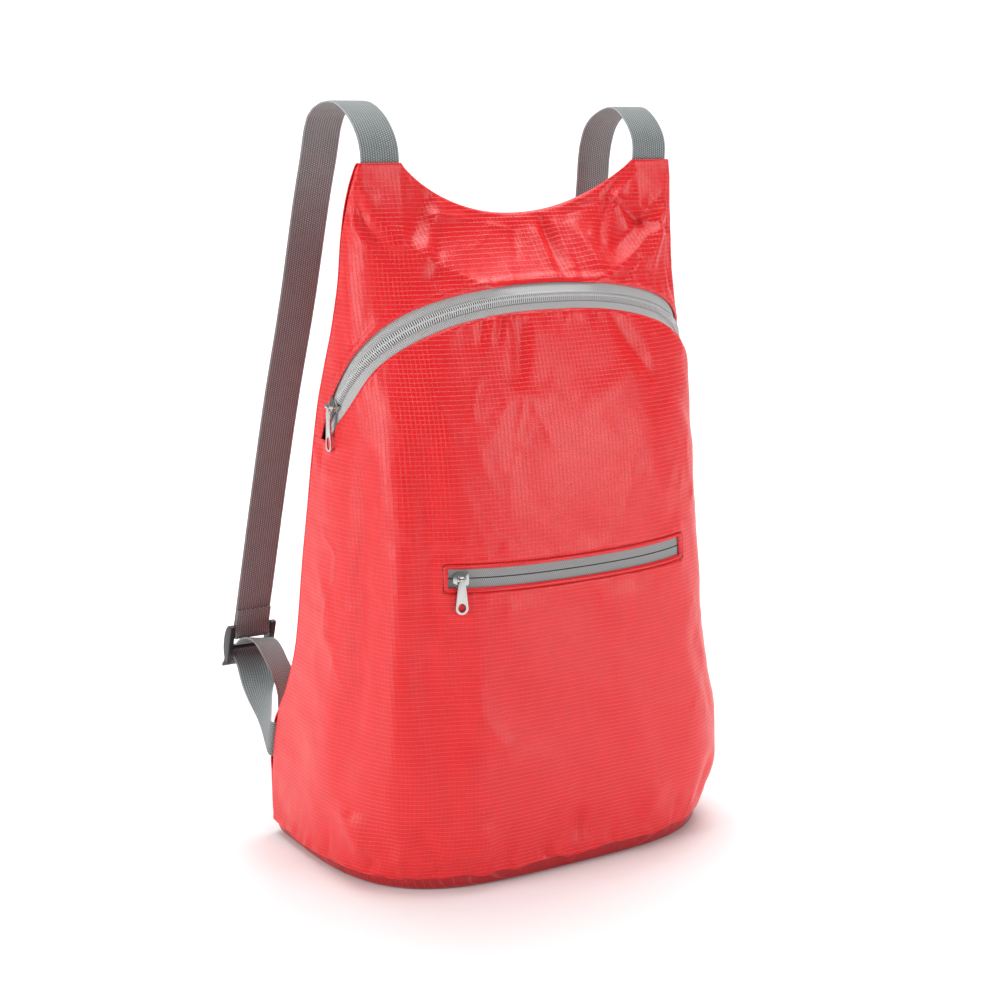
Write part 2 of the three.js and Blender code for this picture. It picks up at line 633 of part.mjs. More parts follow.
function sliderGeometry(slant, roofUnder) {
  const roof = new THREE.Shape();
  const halfLength = sliderLength / 2;
  const halfWidth = sliderWidth / 2;
  roof.moveTo(-halfLength, -halfWidth * 0.55);
  roof.lineTo(-halfLength * 0.3, -halfWidth);
  roof.lineTo(halfLength * 0.75, -halfWidth);
  roof.quadraticCurveTo(halfLength, -halfWidth, halfLength, 0);
  roof.quadraticCurveTo(halfLength, halfWidth, halfLength * 0.75, halfWidth);
  roof.lineTo(-halfLength * 0.3, halfWidth);
  roof.lineTo(-halfLength, halfWidth * 0.55);
  roof.closePath();
  const top = plate(roof, sliderRoof).translate(0, 0, roofUnder + sliderRoof / 2);
  const flangeInside = coilWidth / 2 + seamGap;
  const flanges = [-1, 1].map((side) => {
    const a = side * flangeInside;
    const b = side * halfWidth;
    return boxBetween(-halfLength * 0.25, halfLength * 0.7, Math.min(a, b), Math.max(a, b),
      flangeFoot, roofUnder + 0.4);
  });
  const body = [top, ...flanges].map((piece) => piece.rotateZ(slant));
  const postInside = eyeWidth / 2 + seamGap;
  const rise = pinHeight - sliderRoofUnder + roofUnder;
  const posts = [-1, 1].map((side) => {
    const a = side * postInside;
    const b = side * (postInside + postWall);
    const foot = roofUnder + 0.4;
    return boxBetween(Math.min(a, b), Math.max(a, b), -postReach, postReach, foot, rise + postRise);
  });
  const pin = barAlongX(pinRadius, 2 * postInside + postWall).translate(0, 0, rise);
  return joined([...body, ...posts, pin]);
}

// Pull in its own axes: X along the pin, Y up, Z outwards, with the pin at the origin.
function pullGeometry(size) {
  const eye = new THREE.Shape();
  eye.absarc(0, 0, eyeRadius, 0, 2 * Math.PI);
  const bore = new THREE.Path();
  bore.absarc(0, 0, pinRadius + eyeGap, 0, 2 * Math.PI, true);
  eye.holes.push(bore);
  const barrel = plate(eye, eyeWidth, 8).rotateY(Math.PI / 2);
  const top = -(eyeRadius - 0.35);
  const low = -size.length + size.end / 2;
  const outline = new THREE.Shape();
  outline.moveTo(-eyeWidth / 2, top);
  outline.lineTo(-eyeWidth / 2, -stemLength);
  outline.lineTo(-size.neck / 2, -stemLength - 1);
  outline.lineTo(-size.end / 2, low);
  outline.absarc(0, low, size.end / 2, Math.PI, 2 * Math.PI);
  outline.lineTo(size.neck / 2, -stemLength - 1);
  outline.lineTo(eyeWidth / 2, -stemLength);
  outline.lineTo(eyeWidth / 2, top);
  outline.closePath();
  const hole = new THREE.Path();
  const holeMiddle = low + (size.holeLength - size.holeWidth) / 2;
  hole.absellipse(0, holeMiddle, size.holeWidth / 2, size.holeLength / 2, 0, 2 * Math.PI, true);
  outline.holes.push(hole);
  return joined([barrel, plate(outline, pullThickness, 8)]);
}

// Places a slider, and the pull that hangs straight down from its pin.
function addSlider(prefix, turn, height, zipDirection, roofUnder, size) {
  const at = frontPoint(turn, height);
  const normal = frontNormal(turn, height);
  const pinAxis = new THREE.Vector3(-normal.y, normal.x, 0).normalize();
  const upCloth = new THREE.Vector3().crossVectors(normal, pinAxis).normalize();
  const slant = Math.atan2(zipDirection.dot(upCloth), zipDirection.dot(pinAxis));
  const sliderFrame = new THREE.Matrix4().makeBasis(pinAxis, upCloth, normal).setPosition(at);
  const slider = addPiece(`${prefix}_slider`, sliderGeometry(slant, roofUnder), metalLook);
  slider.applyMatrix4(sliderFrame);
  const pin = at.clone().addScaledVector(normal, pinHeight - sliderRoofUnder + roofUnder);
  const straightUp = new THREE.Vector3(0, 0, 1);
  const outwards = new THREE.Vector3().crossVectors(pinAxis, straightUp);
  const pullFrame = new THREE.Matrix4().makeBasis(pinAxis, straightUp, outwards).setPosition(pin);
  const pull = addPiece(`${prefix}_pull`, pullGeometry(size), metalLook);
  pull.applyMatrix4(pullFrame);
}

const mainZipRun = frontPoint(mainSliderTurn + 1, archMiddle(mainSliderTurn + 1))
  .sub(frontPoint(mainSliderTurn - 1, archMiddle(mainSliderTurn - 1))).normalize();
addSlider('main', mainSliderTurn, archMiddle(mainSliderTurn), mainZipRun, sliderRoofUnder, mainPull);

const pocketSliderTurn = turnAtX(-pocketHalfWidth + pocketSliderInset, pocketHeight);
const pocketRun = frontPoint(pocketSliderTurn + 1, pocketLevel(pocketSliderTurn))
  .sub(frontPoint(pocketSliderTurn - 1, pocketLevel(pocketSliderTurn))).normalize();
addSlider('pocket', pocketSliderTurn, pocketLevel(pocketSliderTurn), pocketRun, seamGap, pocketPull);

// A flat strap swept along places, each with the direction of its width.
function ribbon(stations) {
  const points = [];
  const faces = [];
  stations.forEach((station, i) => {
    const before = stations[Math.max(i - 1, 0)].at;
    const after = stations[Math.min(i + 1, stations.length - 1)].at;
    const along = after.clone().sub(before).normalize();
    const side = station.side.clone().addScaledVector(along, -station.side.dot(along)).normalize();
    const face = new THREE.Vector3().crossVectors(along, side);
    for (const [a, b] of [[-1, -1], [1, -1], [1, 1], [-1, 1]]) {
      points.push(station.at.clone()
        .addScaledVector(side, (a * webbingWidth) / 2)
        .addScaledVector(face, (b * webbingThickness) / 2));
    }
  });
  // Both broad faces are cut along the same diagonal, so that a twist keeps them apart.
  for (let i = 0; i < stations.length - 1; i += 1) {
    const near = i * 4;
    const far = near + 4;
    addQuad(faces, near, near + 1, far + 1, far);
    addQuad(faces, near + 1, near + 2, far + 2, far + 1);
    addQuad(faces, near + 3, far + 3, far + 2, near + 2);
    addQuad(faces, near + 3, near, far, far + 3);
  }
  const end = (stations.length - 1) * 4;
  addQuad(faces, 3, 2, 1, 0);
  addQuad(faces, end, end + 1, end + 2, end + 3);
  return solidFrom(points, faces);
}

// Smooth stations through a few rows, each a place and the direction of the width.
function smoothStations(rows, count) {
  const places = new THREE.CatmullRomCurve3(rows.map((row) => row.at), false, 'centripetal');
  const sides = new THREE.CatmullRomCurve3(rows.map((row) => row.side), false, 'centripetal');
  return Array.from({ length: count + 1 }, (_, i) => ({
    at: places.getPoint(i / count),
    side: sides.getPoint(i / count).normalize(),
  }));
}

const levelSide = new THREE.Vector3(1, 0, 0);
const wrapRadius = barRadius + webbingGap + webbingThickness / 2;

// Buckle axes: rise runs up the strap, inward points to the bag, X runs along the bars.
function buckleFrame(hand, buckle) {
  const lean = THREE.MathUtils.degToRad(buckle.lean);
  return (rise, inward, across = 0) => new THREE.Vector3(
    hand * buckle.out + across,
    buckle.back - rise * Math.sin(lean) - inward * Math.cos(lean),
    buckle.up + rise * Math.cos(lean) - inward * Math.sin(lean),
  );
}

// Routes of the shoulder straps above the buckles: out is a share of strapSpread, back of the
// buckle's own back, and up of bodyHeight.
const leftRoute = [
  { out: 1.000, back: -0.032, up: 1.029 },
  { out: 1.000, back: 0.057, up: 1.062 },
  { out: 1.000, back: 0.203, up: 1.081 },
  { out: 1.000, back: 0.394, up: 1.063 },
  { out: 1.003, back: 0.475, up: 0.998 },
  { out: 1.014, back: 0.535, up: 0.935 },
  { out: 1.038, back: 0.650, up: 0.793 },
  { out: 1.081, back: 0.780, up: 0.637 },
  { out: 1.133, back: 0.893, up: 0.465 },
  { out: 1.185, back: 0.932, up: 0.358 },
];
const rightRoute = [
  { out: 1.000, back: -0.051, up: 1.030 },
  { out: 1.000, back: 0.029, up: 1.060 },
  { out: 1.000, back: 0.130, up: 1.074 },
  { out: 1.000, back: 0.312, up: 1.053 },
  { out: 1.003, back: 0.380, up: 1.016 },
  { out: 1.014, back: 0.420, up: 0.942 },
  { out: 1.038, back: 0.560, up: 0.760 },
  { out: 1.081, back: 0.720, up: 0.600 },
  { out: 1.133, back: 0.890, up: 0.455 },
  { out: 1.185, back: 0.965, up: 0.358 },
];
const foldedEnd = 20;
const strapTuck = 11;
const seamBendOut = 0.9;
const seamBendRadius = 2.2;

function shoulderStrap(hand, buckle, route) {
  const local = buckleFrame(hand, buckle);
  const inTip = [strapTuck, strapTuck / 2, 0].map((depth) => ({
    at: new THREE.Vector3(
      hand * strapSpread,
      sectionAt(bodyHeight - depth).seam + seamGap / 2,
      bodyHeight - depth,
    ),
    side: levelSide,
  }));
  const rows = [...inTip, ...route.map((row) => ({
    at: new THREE.Vector3(hand * row.out * strapSpread, row.back * buckle.back, row.up * bodyHeight),
    side: levelSide,
  }))];
  const inBuckle = (rise, inward) => ({ at: local(rise, inward), side: levelSide });
  rows.push(inBuckle(topBarRise + foldedEnd, -wrapRadius));
  rows.push(inBuckle(topBarRise + 6, -wrapRadius));
  const stations = smoothStations(rows, 44);
  const bends = 8;
  for (let i = 0; i <= bends; i += 1) {
    const turn = (Math.PI * i) / bends;
    stations.push(inBuckle(topBarRise - wrapRadius * Math.sin(turn), -wrapRadius * Math.cos(turn)));
  }
  const lie = -wrapRadius + webbingThickness + webbingGap;
  stations.push(inBuckle(topBarRise + 2, wrapRadius));
  stations.push(inBuckle(topBarRise + 4.5, (wrapRadius + lie) / 2));
  stations.push(inBuckle(topBarRise + 7.5, lie));
  stations.push(inBuckle(topBarRise + foldedEnd, lie));
  return ribbon(stations);
}

// Free end of the lower strap, from the buckle's middle bar: out, back and up are steps from
// the bar as shares of webbingWidth, and the side columns give the direction of its width.
const tailRoute = [
  { out: 0.00, back: -0.16, up: 0.11, sideX: 1.00, sideY: 0.06, sideZ: -0.04 },
  { out: 0.00, back: -0.38, up: 0.26, sideX: 0.97, sideY: 0.18, sideZ: -0.15 },
  { out: -0.02, back: -0.78, up: 0.36, sideX: 0.92, sideY: 0.30, sideZ: -0.24 },
  { out: -0.04, back: -1.18, up: 0.29, sideX: 0.87, sideY: 0.42, sideZ: -0.25 },
  { out: -0.06, back: -1.55, up: 0.06, sideX: 0.84, sideY: 0.52, sideZ: -0.15 },
  { out: -0.16, back: -1.79, up: -0.32, sideX: 0.82, sideY: 0.57, sideZ: -0.05 },
  { out: -0.28, back: -1.78, up: -0.72, sideX: 0.80, sideY: 0.60, sideZ: 0.00 },
  { out: -0.38, back: -1.60, up: -1.12, sideX: 0.78, sideY: 0.62, sideZ: 0.00 },
  { out: -0.44, back: -1.46, up: -1.52, sideX: 0.78, sideY: 0.62, sideZ: 0.00 },
];

function lowerStrap(hand, buckle) {
  const local = buckleFrame(hand, buckle);
  const row = sectionAt(lowerStrapHeight);
  const seamX = row.shift + hand * row.width;
  const seamY = row.seam + seamGap / 2;
  const above = sectionAt(lowerStrapHeight + slitReach);
  const below = sectionAt(lowerStrapHeight - slitReach);
  const upright = new THREE.Vector3(0, above.seam - below.seam, 2 * slitReach).normalize();
  const leaning = (x, y, z) => new THREE.Vector3(-hand * x, y, z).normalize();
  const outwards = new THREE.Vector3(hand, 0, 0);
  const away = new THREE.Vector3(0, upright.z, -upright.y);
  const acrossBars = levelSide.clone().multiplyScalar(-hand);
  const toBars = local(-lowBarDrop + 2, 12);
  const halfway = toBars.clone().lerp(new THREE.Vector3(seamX, seamY, lowerStrapHeight), 0.52);
  halfway.x = hand * (buckle.out + 10);
  halfway.z -= 3;

  // The strap leaves the seam on a slant: it bends round the seam and heads for halfway.
  let seamTurn = Math.PI / 2;
  let slant = 0;
  const bendPlace = (run, turn) => new THREE.Vector3(seamX, seamY, lowerStrapHeight)
    .addScaledVector(outwards, run + seamBendRadius * Math.sin(turn))
    .addScaledVector(away, seamBendRadius * (1 - Math.cos(turn)))
    .addScaledVector(upright, (run + seamBendRadius * turn) * Math.tan(slant));
  for (let pass = 0; pass < 6; pass += 1) {
    const ahead = halfway.clone().sub(bendPlace(seamBendOut, seamTurn));
    const level = Math.hypot(ahead.dot(outwards), ahead.dot(away));
    seamTurn = Math.atan2(ahead.dot(away), ahead.dot(outwards));
    slant = Math.atan2(ahead.dot(upright), level);
  }
  const bendSide = (turn) => upright.clone().multiplyScalar(Math.cos(slant))
    .addScaledVector(outwards, -Math.sin(slant) * Math.cos(turn))
    .addScaledVector(away, -Math.sin(slant) * Math.sin(turn));
  const stations = [{ at: bendPlace(-7, 0), side: bendSide(0) }];
  const bends = 5;
  for (let i = 0; i <= bends; i += 1) {
    const turn = seamTurn * (i / bends);
    stations.push({ at: bendPlace(seamBendOut, turn), side: bendSide(turn) });
  }
  const rows = [
    stations[stations.length - 1],
    { at: halfway, side: leaning(0.30, -0.2, 0.93) },
    { at: toBars, side: leaning(1, 0, 0.1) },
    { at: local(-lowBarDrop + 2.7, 4), side: acrossBars },
    { at: local(-lowBarDrop + 4.9, -1.3), side: acrossBars },
    { at: local(-1.2, -wrapRadius), side: acrossBars },
  ];
  stations.push(...smoothStations(rows, 28).slice(1));
  for (let i = 1; i <= bends; i += 1) {
    const turn = (Math.PI / 2) * (i / bends);
    stations.push({ at: local(wrapRadius * Math.sin(turn), -wrapRadius * Math.cos(turn)), side: acrossBars });
  }
  const tailRows = [stations[stations.length - 1], ...tailRoute.map((step) => ({
    at: new THREE.Vector3(
      hand * (buckle.out + step.out * webbingWidth),
      buckle.back + step.back * webbingWidth,
      buckle.up + step.up * webbingWidth,
    ),
    side: leaning(step.sideX, step.sideY, step.sideZ),
  }))];
  stations.push(...smoothStations(tailRows, 24).slice(1));
  return ribbon(stations);
}

// Ladder-lock buckle: two D-shaped rails, a bar for the sewn strap, a bar and a lip for the
// adjusting strap.
function buckleGeometry(hand, buckle) {
  const local = buckleFrame(hand, buckle);
  const slot = webbingWidth + 1.4;
  const railTop = topBarRise + 9;
  const railFoot = -lowBarDrop - 1.5;
  const railInside = wrapRadius + 0.4;
  const rail = new THREE.Shape();
  rail.moveTo(railFoot, railInside);
  const belly = 9.4;
  const middle = (railTop + railFoot) / 2;
  const half = (railTop - railFoot) / 2;
  const steps = 12;
  for (let i = 1; i < steps; i += 1) {
    const turn = Math.PI * (1 - i / steps);
    rail.lineTo(middle + half * Math.cos(turn), railInside - belly * Math.sin(turn) ** 0.8);
  }
  rail.lineTo(railTop, railInside);
  rail.closePath();
  // Shape X is rise and shape Y is inward; the thickness runs along the bars.
  const toLocal = (geometry) => {
    const origin = local(0, 0);
    const rise = local(1, 0).sub(origin);
    const inward = local(0, 1).sub(origin);
    const across = new THREE.Vector3().crossVectors(rise, inward);
    return geometry.applyMatrix4(new THREE.Matrix4().makeBasis(rise, inward, across).setPosition(origin));
  };
  const pieces = [-1, 1].map((side) => plate(rail, railThickness)
    .translate(0, 0, side * (slot + railThickness) / 2));
  const barLength = slot + railThickness;
  for (const rise of [topBarRise, 0, -lowBarDrop]) {
    pieces.push(new THREE.CylinderGeometry(barRadius, barRadius, barLength, 12)
      .rotateX(Math.PI / 2).translate(rise, 0, 0));
  }
  const lip = new THREE.Shape();
  lip.moveTo(-lowBarDrop + 0.6, -barRadius);
  lip.quadraticCurveTo(-lowBarDrop - 0.6 * lipLength, -barRadius - 0.4, -lowBarDrop - lipLength, -barRadius - 0.4 * lipLength);
  lip.lineTo(-lowBarDrop - 0.9 * lipLength, -barRadius - 0.4 * lipLength - lipThickness);
  lip.quadraticCurveTo(-lowBarDrop - 0.5 * lipLength, -barRadius - 0.4 - 1.3 * lipThickness,
    -lowBarDrop + 0.6, -barRadius - 0.4 - lipThickness);
  lip.closePath();
  pieces.push(plate(lip, slot + 2 * railThickness - 1));
  pieces.push(boxBetween(-lowBarDrop - 1, -lowBarDrop + 1, -barRadius - 1.4, -barRadius + 0.4,
    -barLength / 2, barLength / 2));
  return toLocal(joined(pieces));
}

addPiece('strap_left', shoulderStrap(-1, leftBuckle, leftRoute), webbingLook);
addPiece('strap_right', shoulderStrap(1, rightBuckle, rightRoute), webbingLook);
addPiece('buckle_left', buckleGeometry(-1, leftBuckle), buckleLook);
addPiece('buckle_right', buckleGeometry(1, rightBuckle), buckleLook);
addPiece('lower_strap_left', lowerStrap(-1, leftBuckle), webbingLook);
addPiece('lower_strap_right', lowerStrap(1, rightBuckle), webbingLook);

export default backpack;
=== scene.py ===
import math

import bpy
import numpy as np
from mathutils import Matrix, Vector


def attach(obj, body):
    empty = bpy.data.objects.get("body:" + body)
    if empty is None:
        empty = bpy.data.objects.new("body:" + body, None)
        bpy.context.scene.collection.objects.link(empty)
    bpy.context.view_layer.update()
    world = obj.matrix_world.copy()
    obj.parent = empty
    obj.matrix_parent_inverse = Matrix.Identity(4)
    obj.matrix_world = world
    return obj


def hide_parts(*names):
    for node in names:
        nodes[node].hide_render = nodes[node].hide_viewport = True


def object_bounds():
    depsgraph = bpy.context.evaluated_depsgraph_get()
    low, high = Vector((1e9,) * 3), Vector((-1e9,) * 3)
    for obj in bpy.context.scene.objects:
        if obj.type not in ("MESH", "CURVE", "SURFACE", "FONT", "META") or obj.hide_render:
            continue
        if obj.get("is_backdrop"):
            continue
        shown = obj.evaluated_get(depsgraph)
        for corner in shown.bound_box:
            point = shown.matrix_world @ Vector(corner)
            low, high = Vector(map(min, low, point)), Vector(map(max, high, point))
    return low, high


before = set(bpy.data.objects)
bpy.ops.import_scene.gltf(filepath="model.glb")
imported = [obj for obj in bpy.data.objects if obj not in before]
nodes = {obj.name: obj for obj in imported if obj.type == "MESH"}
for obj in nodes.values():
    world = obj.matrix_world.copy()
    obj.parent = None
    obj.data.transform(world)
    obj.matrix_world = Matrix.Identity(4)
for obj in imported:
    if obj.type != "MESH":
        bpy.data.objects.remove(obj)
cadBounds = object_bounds()
millimetre = 0.001
print("frame loaded")


# Shape of the bag, in millimetres, as in the part
bag = {
    "height": 430.0,
    "halfWidth": 137.5,
    "frontReach": 75.0,
    "seamReach": 78.0,
    "backSwell": 14.0,
    "cloth": 1.3,
    "seamGap": 0.35,
    "neckHeight": 399.0,
    "neckSpread": 0.76,
    "neckPower": 2.1,
    "closingHeight": 46.0,
    "foldDepth": 5.0,
    "rimHeight": 11.5,
}
zipArch = {
    "top": 358.5,
    "endHeight": 268.0,
    "endTurn": 84.0,
    "window": 14.2,
    "tuck": 4.0,
    "tapeThickness": 0.9,
    "tapeSeat": 0.45,
    "pitch": 1.4,
    "sliderTurn": -76.5,
}
pocket = {
    "halfWidth": 82.0,
    "height": 194.0,
    "sag": 2.0,
    "opening": 11.0,
    "frameWidth": 2.9,
    "stitchPitch": 2.1,
}
webbing = {
    "width": 25.0,
    "thickness": 1.3,
    "ribs": 8,
    "columns": 16,
    "dashPitch": 1.35,
    "lowerHeight": 64.0,
    "tuck": 11.0,
    "foldedEnd": 20.0,
}

# height, width, shift, front, seam, corner, swell
bagSections = np.array([
    (0.000, 0.965, 0.012, -0.900, 0.960, 3.4, 0.35),
    (0.028, 0.985, 0.018, -0.930, 0.990, 3.7, 0.45),
    (0.058, 0.989, 0.022, -0.960, 1.000, 4.2, 0.60),
    (0.109, 1.000, 0.029, -0.987, 0.987, 4.5, 0.75),
    (0.177, 0.996, 0.029, -1.000, 0.910, 4.3, 0.90),
    (0.240, 0.975, 0.022, -1.000, 0.718, 3.8, 1.00),
    (0.319, 0.953, 0.015, -0.987, 0.564, 3.4, 1.00),
    (0.442, 0.924, 0.007, -0.960, 0.487, 3.3, 0.95),
    (0.528, 0.909, 0.004, -0.933, 0.410, 3.2, 0.90),
    (0.616, 0.887, 0.000, -0.880, 0.353, 3.2, 0.80),
    (0.672, 0.873, 0.000, -0.813, 0.308, 3.2, 0.72),
    (0.716, 0.858, 0.000, -0.733, 0.256, 3.1, 0.65),
    (0.781, 0.844, 0.000, -0.613, 0.141, 2.7, 0.50),
    (0.844, 0.829, 0.000, -0.480, 0.077, 2.7, 0.38),
    (0.895, 0.822, 0.000, -0.373, 0.051, 3.1, 0.30),
    (0.930, 0.815, 0.000, -0.307, 0.013, 3.6, 0.24),
    (0.965, 0.804, 0.000, -0.280, -0.038, 4.0, 0.20),
    (0.986, 0.793, 0.000, -0.267, -0.077, 4.0, 0.16),
    (1.000, 0.782, 0.000, -0.267, -0.103, 4.0, 0.12),
])
sectionColumns = {"width": 1, "shift": 2, "front": 3, "seam": 4, "corner": 5, "swell": 6}

# turn0, height0, turn1, height1, width, depth: the part's own folds
mainFolds = [
    (-0.72, 0.955, -0.50, 0.860, 0.060, -0.55),
    (-0.62, 0.940, -0.30, 0.860, 0.045, 0.35),
    (0.52, 0.940, 0.30, 0.870, 0.045, -0.90),
    (0.60, 0.950, 0.45, 0.840, 0.040, 0.70),
    (0.68, 0.960, 0.62, 0.810, 0.045, -0.80),
    (0.20, 0.915, 0.24, 0.845, 0.040, 0.50),
    (0.10, 0.915, 0.13, 0.850, 0.040, -0.45),
    (0.40, 0.770, 0.66, 0.700, 0.060, 0.60),
    (-0.12, 0.790, -0.16, 0.700, 0.040, -0.50),
    (0.24, 0.785, 0.34, 0.690, 0.045, -0.60),
    (-0.52, 0.640, -0.50, 0.180, 0.070, 0.70),
    (-0.66, 0.600, -0.64, 0.120, 0.060, -0.80),
    (-0.36, 0.400, -0.38, 0.080, 0.060, -0.50),
    (0.60, 0.560, 0.58, 0.200, 0.060, -0.50),
    (-0.62, 0.110, -0.56, 0.050, 0.055, 0.80),
    (-0.44, 0.110, -0.42, 0.045, 0.045, -0.80),
    (-0.30, 0.100, -0.28, 0.040, 0.045, 0.60),
    (0.00, 0.090, 0.01, 0.040, 0.045, -0.50),
    (0.26, 0.110, 0.24, 0.045, 0.050, 0.60),
    (0.46, 0.120, 0.44, 0.045, 0.045, -0.80),
]


def smoothStep(value, low, high):
    t = np.clip((value - low) / (high - low), 0, 1)
    return t * t * (3 - 2 * t)


def sectionValue(name, height):
    table = bagSections
    at = np.clip(np.asarray(height, float) / bag["height"], 0, 1)
    hs = table[:, 0]
    vs = table[:, sectionColumns[name]]
    slope = np.diff(vs) / np.diff(hs)
    before = np.concatenate([slope[:1], slope])
    after = np.concatenate([slope, slope[-1:]])
    product = before * after
    tangent = np.where(product <= 0, 0, 2 * product / np.where(before + after == 0, 1, before + after))
    row = np.clip(np.searchsorted(hs, at, side="left") - 1, 0, len(hs) - 2)
    span = hs[row + 1] - hs[row]
    t = (at - hs[row]) / span
    return ((2 * t**3 - 3 * t**2 + 1) * vs[row] + (t**3 - 2 * t**2 + t) * tangent[row] * span
            + (3 * t**2 - 2 * t**3) * vs[row + 1] + (t**3 - t**2) * tangent[row + 1] * span)


def cornerShares(turn, corner):
    across = np.sin(np.radians(turn))
    along = np.maximum(np.cos(np.radians(turn)), 0)
    radius = (np.abs(across) ** corner + along ** corner) ** (-1 / corner)
    return across * radius, along * radius


def topHeight(share):
    rise = np.minimum(np.abs(share) / bag["neckSpread"], 1) ** bag["neckPower"]
    return bag["neckHeight"] + (bag["height"] - bag["neckHeight"]) * rise


slitOpening = webbing["thickness"] / 2 + 0.3
slitReach = webbing["width"] / 2 + 1.8
tipHalfWidth = bagSections[-1][1] * bag["halfWidth"]
strapSpread = tipHalfWidth - webbing["width"] / 2 - 0.6


def tipOpening(share, height):
    aside = np.abs(np.abs(share) - strapSpread / tipHalfWidth) / (webbing["width"] / 2 / tipHalfWidth)
    below = (bag["height"] - height) / (0.1 * bag["height"])
    return slitOpening * (1 - smoothStep(aside, 1, 1.45)) * (1 - smoothStep(below, 0.6, 1))


def seamOpening(height):
    away = np.abs(height - webbing["lowerHeight"])
    return 1.25 * slitOpening * (1 - smoothStep(away, slitReach + 0.5, slitReach + 8))


def closing(share, height):
    return np.clip((topHeight(share) - height) / bag["closingHeight"], 0, 1) ** 0.8


def plainFront(turn, height):
    turn, height = np.broadcast_arrays(np.asarray(turn, float), np.asarray(height, float))
    across, along = cornerShares(turn, sectionValue("corner", height))
    seam = sectionValue("seam", height) * bag["seamReach"]
    front = sectionValue("front", height) * bag["frontReach"]
    depth = (seam - front) * along * closing(across, height)
    opening = tipOpening(across, height) + seamOpening(height) * smoothStep(np.abs(turn), 60, 90)
    x = (sectionValue("shift", height) + sectionValue("width", height) * across) * bag["halfWidth"]
    return np.stack([x, seam - depth - opening, height], -1)


def unit(v):
    return v / np.maximum(np.linalg.norm(v, axis=-1, keepdims=True), 1e-9)


def frontNormal(turn, height):
    turn, height = np.broadcast_arrays(np.asarray(turn, float), np.asarray(height, float))
    across4 = cornerShares(turn, 4.0)[0]
    low = np.maximum(height - 1, 0)
    high = np.minimum(height + 1, topHeight(across4))
    level = plainFront(np.minimum(turn + 0.4, 90), height) - plainFront(np.maximum(turn - 0.4, -90), height)
    rise = plainFront(turn, high) - plainFront(turn, low)
    normal = unit(np.cross(level, rise))
    normal[..., 2] *= smoothStep(height, bag["rimHeight"] + bag["seamGap"], bag["rimHeight"] + 20)
    across = cornerShares(turn, sectionValue("corner", height))[0]
    rounded = smoothStep(closing(across, height), 0.05, 0.5)[..., None]
    facing = np.sign(turn) * (math.pi / 2) * smoothStep(np.abs(turn), 65, 90)
    flat = np.stack([np.sin(facing), -np.cos(facing), np.zeros_like(facing)], -1)
    return unit(flat * (1 - rounded) + unit(normal) * rounded)


def mainFold(turn, height):
    arc = bag["halfWidth"] * 1.35
    u = turn / 90 * arc
    offset = np.zeros_like(u)
    for turn0, height0, turn1, height1, width, depth in mainFolds:
        startU = turn0 * arc
        startV = height0 * bag["height"]
        runU = turn1 * arc - startU
        runV = height1 * bag["height"] - startV
        t = np.clip(((u - startU) * runU + (height - startV) * runV) / (runU**2 + runV**2), 0, 1)
        away = np.hypot(u - startU - t * runU, height - startV - t * runV)
        taper = 0.2 + 0.8 * np.sin(math.pi * t) ** 0.6
        offset += taper * depth * bag["foldDepth"] * np.exp(-((away / (width * bag["halfWidth"])) ** 2))
    sideFade = 1 - smoothStep(np.abs(turn), 72, 86)
    topFade = smoothStep(topHeight(cornerShares(turn, 4.0)[0]) - height, 0, 12)
    baseFade = smoothStep(height, bag["rimHeight"], bag["rimHeight"] + 14)
    return offset * sideFade * topFade * baseFade


def frontPoint(turn, height, offset):
    turn, height = np.broadcast_arrays(np.asarray(turn, float), np.asarray(height, float))
    push = np.asarray(offset + mainFold(turn, height))[..., None]
    return plainFront(turn, height) + frontNormal(turn, height) * push


def backPoint(share, height, offset):
    share, height = np.broadcast_arrays(np.asarray(share, float), np.asarray(height, float))
    reach = sectionValue("width", height) * bag["halfWidth"] + bag["cloth"]
    inside = np.maximum(1 - np.abs(share) ** 2.4, 0)
    swell = sectionValue("swell", height) * bag["backSwell"] * inside * closing(share, height)
    opening = tipOpening(share, height) + seamOpening(height) * smoothStep(np.abs(share), 0.75, 1)
    x = sectionValue("shift", height) * bag["halfWidth"] + reach * share
    y = sectionValue("seam", height) * bag["seamReach"] + bag["seamGap"] + swell + opening + offset
    return np.stack([x, y, height], -1)


def turnAtX(x, height):
    low, high = -89.0, 89.0
    for _ in range(40):
        middle = (low + high) / 2
        if plainFront(middle, height)[0] < x:
            low = middle
        else:
            high = middle
    return (low + high) / 2


def archEdge(turn, apex, endTurn, turnPower, heightPower):
    reach = np.minimum(np.abs(turn) / endTurn, 1)
    rise = apex - zipArch["endHeight"]
    return zipArch["endHeight"] + rise * (1 - reach ** turnPower) ** (1 / heightPower)


def archUpper(turn):
    return archEdge(turn, zipArch["top"], zipArch["endTurn"], 2.4, 1.6) + bag["seamGap"] / 2


def archLower(turn):
    apex = zipArch["top"] - zipArch["window"]
    return archEdge(turn, apex, zipArch["endTurn"] - 4, 2.6, 1.02) - bag["seamGap"] / 2


def clothEdge(turn):
    droop = 5.0 * np.exp(-(((np.asarray(turn) + 68.0) / 8.0) ** 2))
    return archLower(turn) - droop


def archMiddle(turn):
    return (archUpper(turn) + archLower(turn)) / 2


def archStretch(turn):
    reach = np.minimum(np.abs(turn), zipArch["endTurn"] - 2)
    a = plainFront(reach - 1, archMiddle(reach - 1))
    b = plainFront(reach + 1, archMiddle(reach + 1))
    level = np.hypot(a[..., 0] - b[..., 0], a[..., 1] - b[..., 1])
    return np.hypot(level, a[..., 2] - b[..., 2]) / level


pocketLeft = turnAtX(-pocket["halfWidth"], pocket["height"])
pocketRight = turnAtX(pocket["halfWidth"], pocket["height"])


